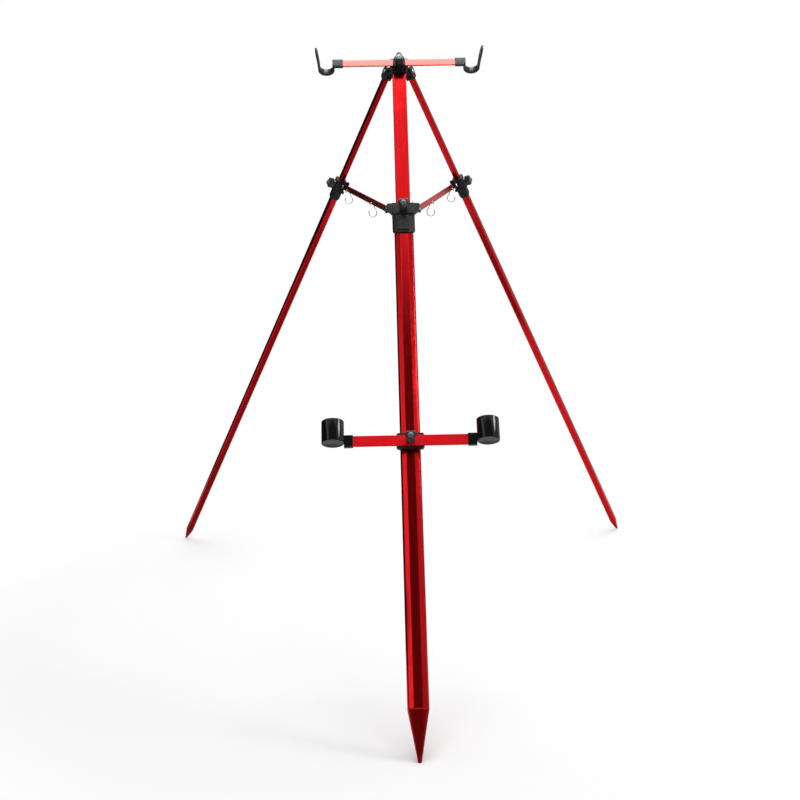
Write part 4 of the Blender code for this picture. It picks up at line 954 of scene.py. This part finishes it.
@dataclass
class ButtCup:
    """A round cup that a rod's butt stands in."""

    side: Side
    centre: float = 0.1504
    radius: float = 0.0220
    wall: float = 0.0024
    floor: float = 0.0030
    length: float = 0.0454
    below: float = 0.0094
    forward: float = 0.0142
    edge: float = 0.0012
    foot_inset: float = 0.00192
    fillet: float = 0.0015
    edge_steps: int = 5
    lip_steps: int = 8
    steps: int = 72

    def build(self, shop: Workshop) -> None:
        """Spin the cup's wall, with a round rim and foot, and dress it.

        Args:
            shop: where pieces are dressed.
        """
        name = f"{self.side.value}_butt_cup"
        origin, out = pivot("lower_bar_turn"), axis("lower_bar_turn")
        down = axis("front_extension")
        back, face = reach("lower_bar", origin, out)
        level = (back + face) / 2.0 + self.forward
        middle = origin + Vector((self.side.sign * self.centre, 0.0, 0.0)) + out * level
        foot, mouth = self.below, self.below - self.length
        floor = foot - self.floor
        inner = self.radius - self.wall
        lip = self.wall / 2.0
        profile = [(foot, 0.0), (foot, self.radius - self.foot_inset)]
        profile += [(foot - self.edge + b, self.radius - self.edge + a)
                    for a, b in rounding((0.0, 0.0), self.edge, pi / 2.0, 0.0, self.edge_steps)[1:]]
        profile += [(mouth + lip - b, inner + lip + a)
                    for a, b in rounding((0.0, 0.0), lip, 0.0, pi, self.lip_steps)]
        profile += [(floor - self.fillet, inner), (floor, inner - self.fillet), (floor, 0.0)]
        shop.publish(f"{name}_dressed", turned(middle, down, profile, self.steps), "cup", name)


@dataclass
class WireHook:
    """A bent wire hook that hangs plumb in a hole of a brace."""

    side: Side
    label: str
    wire: float = 0.0009
    eye: float = 0.0044
    eye_arc: tuple[float, float] = (radians(200.0), radians(-20.0))
    tail: float = 0.0025
    bend: float = 0.0092
    bend_arc: tuple[float, float] = (radians(48.0), radians(-215.0))
    drop: float = 0.0225
    aside: float = 0.0020
    tip: float = 0.55
    eye_steps: int = 20
    bend_steps: int = 40
    facets: int = 12

    def build(self, shop: Workshop) -> None:
        """Bend the wire along its path and dress it.

        Args:
            shop: where pieces are dressed.
        """
        name = f"{self.side.value}_{self.label}_hook"
        hole = pivot(f"{name}_swing")
        flat = axis(f"{name}_swing")
        across = Vector((flat.x, flat.y, 0.0)).normalized()
        if across.x * self.side.sign > 0.0:
            across = -across
        up = Vector((0.0, 0.0, 1.0))
        path = [(-self.eye, -self.eye - self.tail)]
        path += rounding((0.0, -self.eye), self.eye, *self.eye_arc, self.eye_steps)
        path += rounding((self.aside, -self.drop), self.bend, *self.bend_arc, self.bend_steps)
        points = [hole + across * x + up * y for x, y in path]
        normal = across.cross(up)
        turns = self.facets - 1
        section = rounding((0.0, 0.0), self.wire, 0.0, 2.0 * pi * turns / self.facets, turns)
        rings = []
        for k, (point, tangent) in enumerate(zip(points, tangents(points))):
            side = normal.cross(tangent)
            thin = self.tip if k in (0, len(points) - 1) else 1.0
            rings.append([point + (side * x + normal * y) * thin for x, y in section])
        shop.publish(f"{name}_dressed", swept(rings), "wire", name)


@dataclass
class FrontLeg:
    """The flat inner tube, the wide outer tube, and the mouldings on them."""

    tube_edge: float = 0.0005
    wide_edge: float = 0.0009
    wide_sharp: float = radians(18.0)
    wide_segments: int = 3
    mould_edge: float = 0.0006

    def build(self, shop: Workshop) -> None:
        """Dress the leg from the head down to the point.

        Args:
            shop: where pieces are dressed.
        """
        shop.soften("front_upper_tube", "front_tube", self.tube_edge)
        for node in ("front_lower_tube", "front_point"):
            shop.soften(node, "front_tube", self.wide_edge, self.wide_sharp, self.wide_segments)
        for node in ("head_hub", "top_saddle", "top_clamp_plate", "centre_collar", "front_sleeve",
                     "lower_bracket"):
            shop.soften(node, "nylon", self.mould_edge)
        shop.paint("front_guide_bush", "nylon")


@dataclass
class RearLeg:
    """One rear leg with its knuckle, collar, sleeve and point."""

    side: Side
    tube_edge: float = 0.0004
    mould_edge: float = 0.0005

    def build(self, shop: Workshop) -> None:
        """Dress the leg from the knuckle down to the point.

        Args:
            shop: where pieces are dressed.
        """
        prefix = f"rear_{self.side.value}"
        for part in ("upper_tube", "lower_tube", "point"):
            shop.soften(f"{prefix}_{part}", f"{prefix}_tube", self.tube_edge)
        for part in ("knuckle", "collar", "sleeve"):
            shop.soften(f"{prefix}_{part}", "nylon", self.mould_edge)
        shop.paint(f"{prefix}_guide_bush", "nylon")
        for pin in (f"{prefix}_hinge_pin", f"{prefix}_pivot_pin", f"front_{self.side.value}_pivot_screw"):
            shop.paint(pin, "plated")


@dataclass
class Brace:
    """A flat brace from a rear leg to the centre collar, with two wire hooks."""

    side: Side
    edge: float = 0.0004

    def build(self, shop: Workshop) -> None:
        """Dress the brace and bend its hooks.

        Args:
            shop: where pieces are dressed.
        """
        name = f"{self.side.value}_brace"
        shop.soften(name, name, self.edge)
        for label in ("outer", "inner"):
            WireHook(self.side, label).build(shop)


@dataclass
class Bars:
    """The top bar with its rod rests and the lower bar with its butt cups."""

    edge: float = 0.0005
    top_bare: float = 0.1242
    lower_bare: float = 0.1115
    cup_share: float = 0.96

    def build(self, shop: Workshop) -> None:
        """Dress the bars and model what is on their ends.

        Args:
            shop: where pieces are dressed.
        """
        for bar in ("top_bar", "lower_bar"):
            shop.soften(bar, bar, self.edge)
        for side in Side:
            rest, cup = RodRest(side), ButtCup(side)
            rest.build(shop)
            cup.build(shop)
            word = side.value
            BarSocket(f"{word}_rest_socket", f"{word}_rod_rest", "top_bar", "top_bar_turn", side,
                      self.top_bare, rest.centre - rest.radius).build(shop, "rest")
            BarSocket(f"{word}_cup_socket", f"{word}_butt_cup", "lower_bar", "lower_bar_turn", side,
                      self.lower_bare, cup.centre - cup.radius * self.cup_share).build(shop, "cup")


@dataclass(frozen=True)
class Studio:
    """The floor, the lamps, the cards that only reflections see, and the camera."""

    place: Vector = field(default_factory=lambda: Vector((-0.0614, -2.9672, 1.0491)))
    yaw: float = radians(0.955)
    pitch: float = radians(10.085)
    roll: float = radians(0.978)
    lens: float = 60.10
    sensor: float = 36.0
    floor_colour: Colour = (0.88, 0.88, 0.88)
    mirrored_floor: Colour = (0.58, 0.58, 0.58)
    floor_roughness: float = 0.9
    floor_specular: float = 0.1
    floor_size: float = 14.0
    shadow_reach: float = 0.75
    white_from: float = 1.2
    fill: float = 0.55

    def build(self) -> None:
        """Build the whole set."""
        self._camera()
        self._floor()
        self._world()
        self._lamp("overhead_softbox", (0.1, 0.43, 2.9), (0.0, 0.43, 0.6), (1.7, 1.4), 52.0)
        self._lamp("right_strip", (2.31, -0.5, 2.12), (0.0, -0.3, 0.5), (0.8, 0.7), 20.0)
        self._card("front_card", (0.0, -2.4, 2.4), (0.0, 1.0, 0.0), (5.6, 6.4), (0.125, 0.66), 0.80)
        self._card("back_card", (0.0, 4.5, 0.8), (0.0, -1.0, 0.0), (2.8, 5.0), (0.08, 0.08))
        self._card("left_back_card", (-2.2, 2.3, 0.9), (1.0, 0.0, 0.0), (4.4, 4.0), (0.02, 0.02))
        self._card("left_front_card", (-2.2, -0.8, 0.4), (1.0, 0.0, 0.0), (1.8, 3.0), (0.02, 0.02))
        self._card("left_high_card", (-2.4, -1.3, 2.6), (1.0, 0.0, 0.0), (2.6, 3.0), (1.1, 0.24))
        self._card("right_high_card", (2.9, -1.2, 3.2), (-1.0, 0.0, 0.0), (2.6, 2.6), (0.54, 0.48))
        self._card("right_low_card", (2.42, -0.65, 0.85), (-1.0, 0.0, 0.0), (2.7, 1.8), (0.42, 0.42))
        self._card("right_back_card", (2.4, 2.6, 1.2), (-1.0, 0.0, 0.0), (3.8, 3.8), (0.42, 0.42))
        self._card("right_floor_card", (0.65, -1.05, 0.01), (0.0, 0.0, 1.0), (1.3, 1.7), (0.30, 0.30))
        self._card("left_floor_card", (-0.42, 0.45, 0.01), (0.0, 0.0, 1.0), (1.06, 1.1), (0.27, 0.27))
        self._card("cup_floor_card", (0.28, 0.05, 0.01), (0.0, 0.0, 1.0), (0.34, 0.3), (0.27, 0.27))

    def _camera(self) -> None:
        """Stand the camera where the photograph was taken from."""
        ahead = Vector((sin(self.yaw) * cos(self.pitch), cos(self.yaw) * cos(self.pitch), -sin(self.pitch)))
        right = Vector((cos(self.yaw), -sin(self.yaw), 0.0))
        below = ahead.cross(right)
        rolled = right * cos(self.roll) + below * sin(self.roll)
        down = below * cos(self.roll) - right * sin(self.roll)
        data = bpy.data.cameras.new("camera")
        data.lens = self.lens
        data.sensor_width = self.sensor
        camera = bpy.data.objects.new("camera", data)
        bpy.context.scene.collection.objects.link(camera)
        turn = Matrix((rolled, -down, -ahead)).transposed().to_4x4()
        camera.matrix_world = Matrix.Translation(self.place) @ turn
        bpy.context.scene.camera = camera

    def _floor(self) -> None:
        """Lay a pale floor that keeps the shadow near the feet and is white further out."""
        material, tree = new_material("studio floor")
        shader = material.node_tree.nodes["Principled BSDF"]
        rays = tree.add("LightPath")
        seen_as = tree.mix(rays.outputs["Is Glossy Ray"], (*self.floor_colour, 1.0),
                           (*self.mirrored_floor, 1.0))
        tree.feed(shader.inputs["Base Color"], seen_as)
        shader.inputs["Roughness"].default_value = self.floor_roughness
        shader.inputs["Specular IOR Level"].default_value = self.floor_specular
        white = tree.add("Emission", {"Color": WHITE, "Strength": 1.0})
        far = tree.add("VectorMath", {0: tree.add("TexCoord").outputs["Object"]}, operation="LENGTH")
        share = tree.spread(far.outputs["Value"], self.shadow_reach, self.white_from, 0.0, 1.0)
        share = tree.maths("MULTIPLY", share, rays.outputs["Is Camera Ray"])
        both = tree.add("MixShader", {0: share, 1: shader.outputs[0], 2: white.outputs[0]})
        tree.feed(material.node_tree.nodes["Material Output"].inputs["Surface"], both.outputs[0])
        bm = bmesh.new()
        bmesh.ops.create_grid(bm, x_segments=1, y_segments=1, size=self.floor_size)
        floor = placed("floor", bm, material)

    def _world(self) -> None:
        """Surround the set with white that cameras and reflections see, and a dimmer fill light."""
        world = bpy.data.worlds.new("studio")
        world.use_nodes = True
        bpy.context.scene.world = world
        tree = Tree(world.node_tree)
        backing = world.node_tree.nodes["Background"]
        backing.inputs["Color"].default_value = WHITE
        rays = tree.add("LightPath")
        seen = tree.maths("MAXIMUM", rays.outputs["Is Camera Ray"], rays.outputs["Is Glossy Ray"])
        seen = tree.maths("MAXIMUM", seen, rays.outputs["Is Transmission Ray"])
        tree.feed(backing.inputs["Strength"], tree.spread(seen, 0.0, 1.0, self.fill, 1.0))

    def _lamp(self, name: str, place: Sequence[float], target: Sequence[float],
              size: tuple[float, float], power: float) -> None:
        """Hang one soft lamp.

        Args:
            name: the lamp's name.
            place: its middle.
            target: the point it faces.
            size: its width and height.
            power: its power in watts.
        """
        data = bpy.data.lights.new(name, "AREA")
        data.shape = "RECTANGLE"
        data.size, data.size_y = size
        data.energy = power
        lamp = bpy.data.objects.new(name, data)
        bpy.context.scene.collection.objects.link(lamp)
        lamp.location = place
        lamp.rotation_mode = "QUATERNION"
        lamp.rotation_quaternion = (Vector(target) - Vector(place)).to_track_quat("-Z", "Y")

    def _card(self, name: str, place: Sequence[float], facing: Sequence[float],
              size: tuple[float, float], levels: tuple[float, float], start: float = 0.35) -> None:
        """Stand a plain card that only reflections see.

        Args:
            name: the card's name.
            place: its middle.
            facing: the way it faces.
            size: its width and height.
            levels: how bright it is at its foot and at its top.
            start: the share of its height at which it leaves its lower level.
        """
        material, tree = new_material(name)
        spot = tree.add("SeparateXYZ", {0: tree.add("TexCoord").outputs["Generated"]})
        level = tree.spread(spot.outputs["Z"], start, 1.0, *levels)
        glow = tree.add("Emission", {"Color": WHITE, "Strength": level})
        tree.feed(material.node_tree.nodes["Material Output"].inputs["Surface"], glow.outputs[0])
        bm = bmesh.new()
        bmesh.ops.create_grid(bm, x_segments=1, y_segments=1, size=0.5)
        bmesh.ops.scale(bm, vec=(size[0], size[1], 1.0), verts=bm.verts)
        turn = Vector(facing).to_track_quat("Z", "Y").to_matrix().to_4x4()
        bmesh.ops.transform(bm, matrix=Matrix.Translation(Vector(place)) @ turn, verts=bm.verts)
        card = placed(name, bm, material)
        card.visible_camera = False
        card.visible_diffuse = False
        card.visible_shadow = False
        card.visible_transmission = False


def stock_finishes(shop: Workshop, effects: Effects) -> None:
    """Build every finish of the tripod.

    Args:
        shop: where the finishes are kept.
        effects: the shared groups.
    """
    red = (0.74, 0.0125, 0.016)
    black = (0.010, 0.010, 0.011)
    sideways = Vector((1.0, 0.0, 0.0))
    bar_lines = 0.00002
    for leg in ("front", "rear_left", "rear_right"):
        shop.stock(Extrusion(f"{leg}_tube", Slot.TUBE, red, 0.11, 1.0, along=axis(f"{leg}_extension")),
                   effects)
    for side in Side:
        outer, inner = [pivot(f"{side.value}_{label}_hook_swing") for label in ("outer", "inner")]
        shop.stock(Extrusion(f"{side.value}_brace", Slot.BAR, (0.90, 0.045, 0.032), 0.24, 1.0,
                             along=(inner - outer).normalized(), line_depth=bar_lines), effects)
    shop.stock(Extrusion("lower_bar", Slot.BAR, (0.98, 0.006, 0.013), 0.50, 0.8, along=sideways,
                         line_depth=bar_lines), effects)
    # The top bar's salmon red has its green and blue raised above the tubes' red; this partly paints in the sheen
    # of the overhead softbox.
    shop.stock(Extrusion("top_bar", Slot.BAR, (0.80, 0.080, 0.062), 0.36, 0.9, along=sideways,
                         line_depth=bar_lines, coat=1.0, coat_roughness=0.38), effects)
    shop.stock(Moulding("nylon", Slot.NYLON, black, 0.42, 0.0, specular=0.28), effects)
    shop.stock(Moulding("rest", Slot.NYLON, black, 0.16, 0.0, grain_scale=500.0,
                        grain_depth=0.000008, edge_wear_and_glint=0.2, specular=0.45), effects)
    shop.stock(Moulding("cup", Slot.CUP, (0.004, 0.004, 0.004), 0.08, 0.0, grain_scale=300.0,
                        grain_depth=0.000006, edge_wear_and_glint=0.2, specular=0.4), effects)
    shop.stock(Moulding("knob", Slot.KNOB, (0.022, 0.024, 0.029), 0.36, 0.0,
                        scuffed_and_glint=(0.07, 0.07, 0.08), specular=0.5), effects)
    for name, colour, scuffed_and_glint in (("cap", (0.10, 0.105, 0.12), (0.16, 0.16, 0.17)),
                                  ("top_cap", (0.34, 0.35, 0.37), (0.42, 0.42, 0.43))):
        shop.stock(Moulding(name, Slot.CAP, colour, 0.30, 0.0, grain_scale=1600.0,
                            grain_depth=0.000010, scuffed_and_glint=scuffed_and_glint, specular=0.5), effects)
    shop.stock(Plated("plated", Slot.STEEL, (0.62, 0.62, 0.64), 0.30, 1.0), effects)
    shop.stock(Plated("wire", Slot.WIRE, (0.70, 0.70, 0.71), 0.24, 1.0, grain_scale=3200.0), effects)


def knobs() -> list[Knob]:
    """List the five clamp knobs, each with the way that one of its lobes points.

    Returns:
        The knobs.
    """
    out, down = axis("top_bar_turn"), axis("front_extension")
    made = [Knob("top_knob", out, -down, "top_cap"), Knob("centre_knob", out, down),
            Knob("lower_knob", out, down)]
    for side in Side:
        prefix = f"rear_{side.value}"
        made.append(Knob(f"{prefix}_knob", axis(f"{prefix}_knob_turn"), -axis(f"{prefix}_extension")))
    return made


def main() -> None:
    """Build the tripod's looks and the studio round it."""
    logging.basicConfig(level=logging.INFO, format="%(name)s: %(message)s")
    scene = bpy.context.scene
    scene.view_settings.view_transform = "Standard"
    shop = Workshop()
    stock_finishes(shop, Effects())
    Studio().build()
    FrontLeg().build(shop)
    for side in Side:
        RearLeg(side).build(shop)
        Brace(side).build(shop)
    Bars().build(shop)
    for knob in knobs():
        knob.build(shop)


if __name__ == "__main__":
    main()
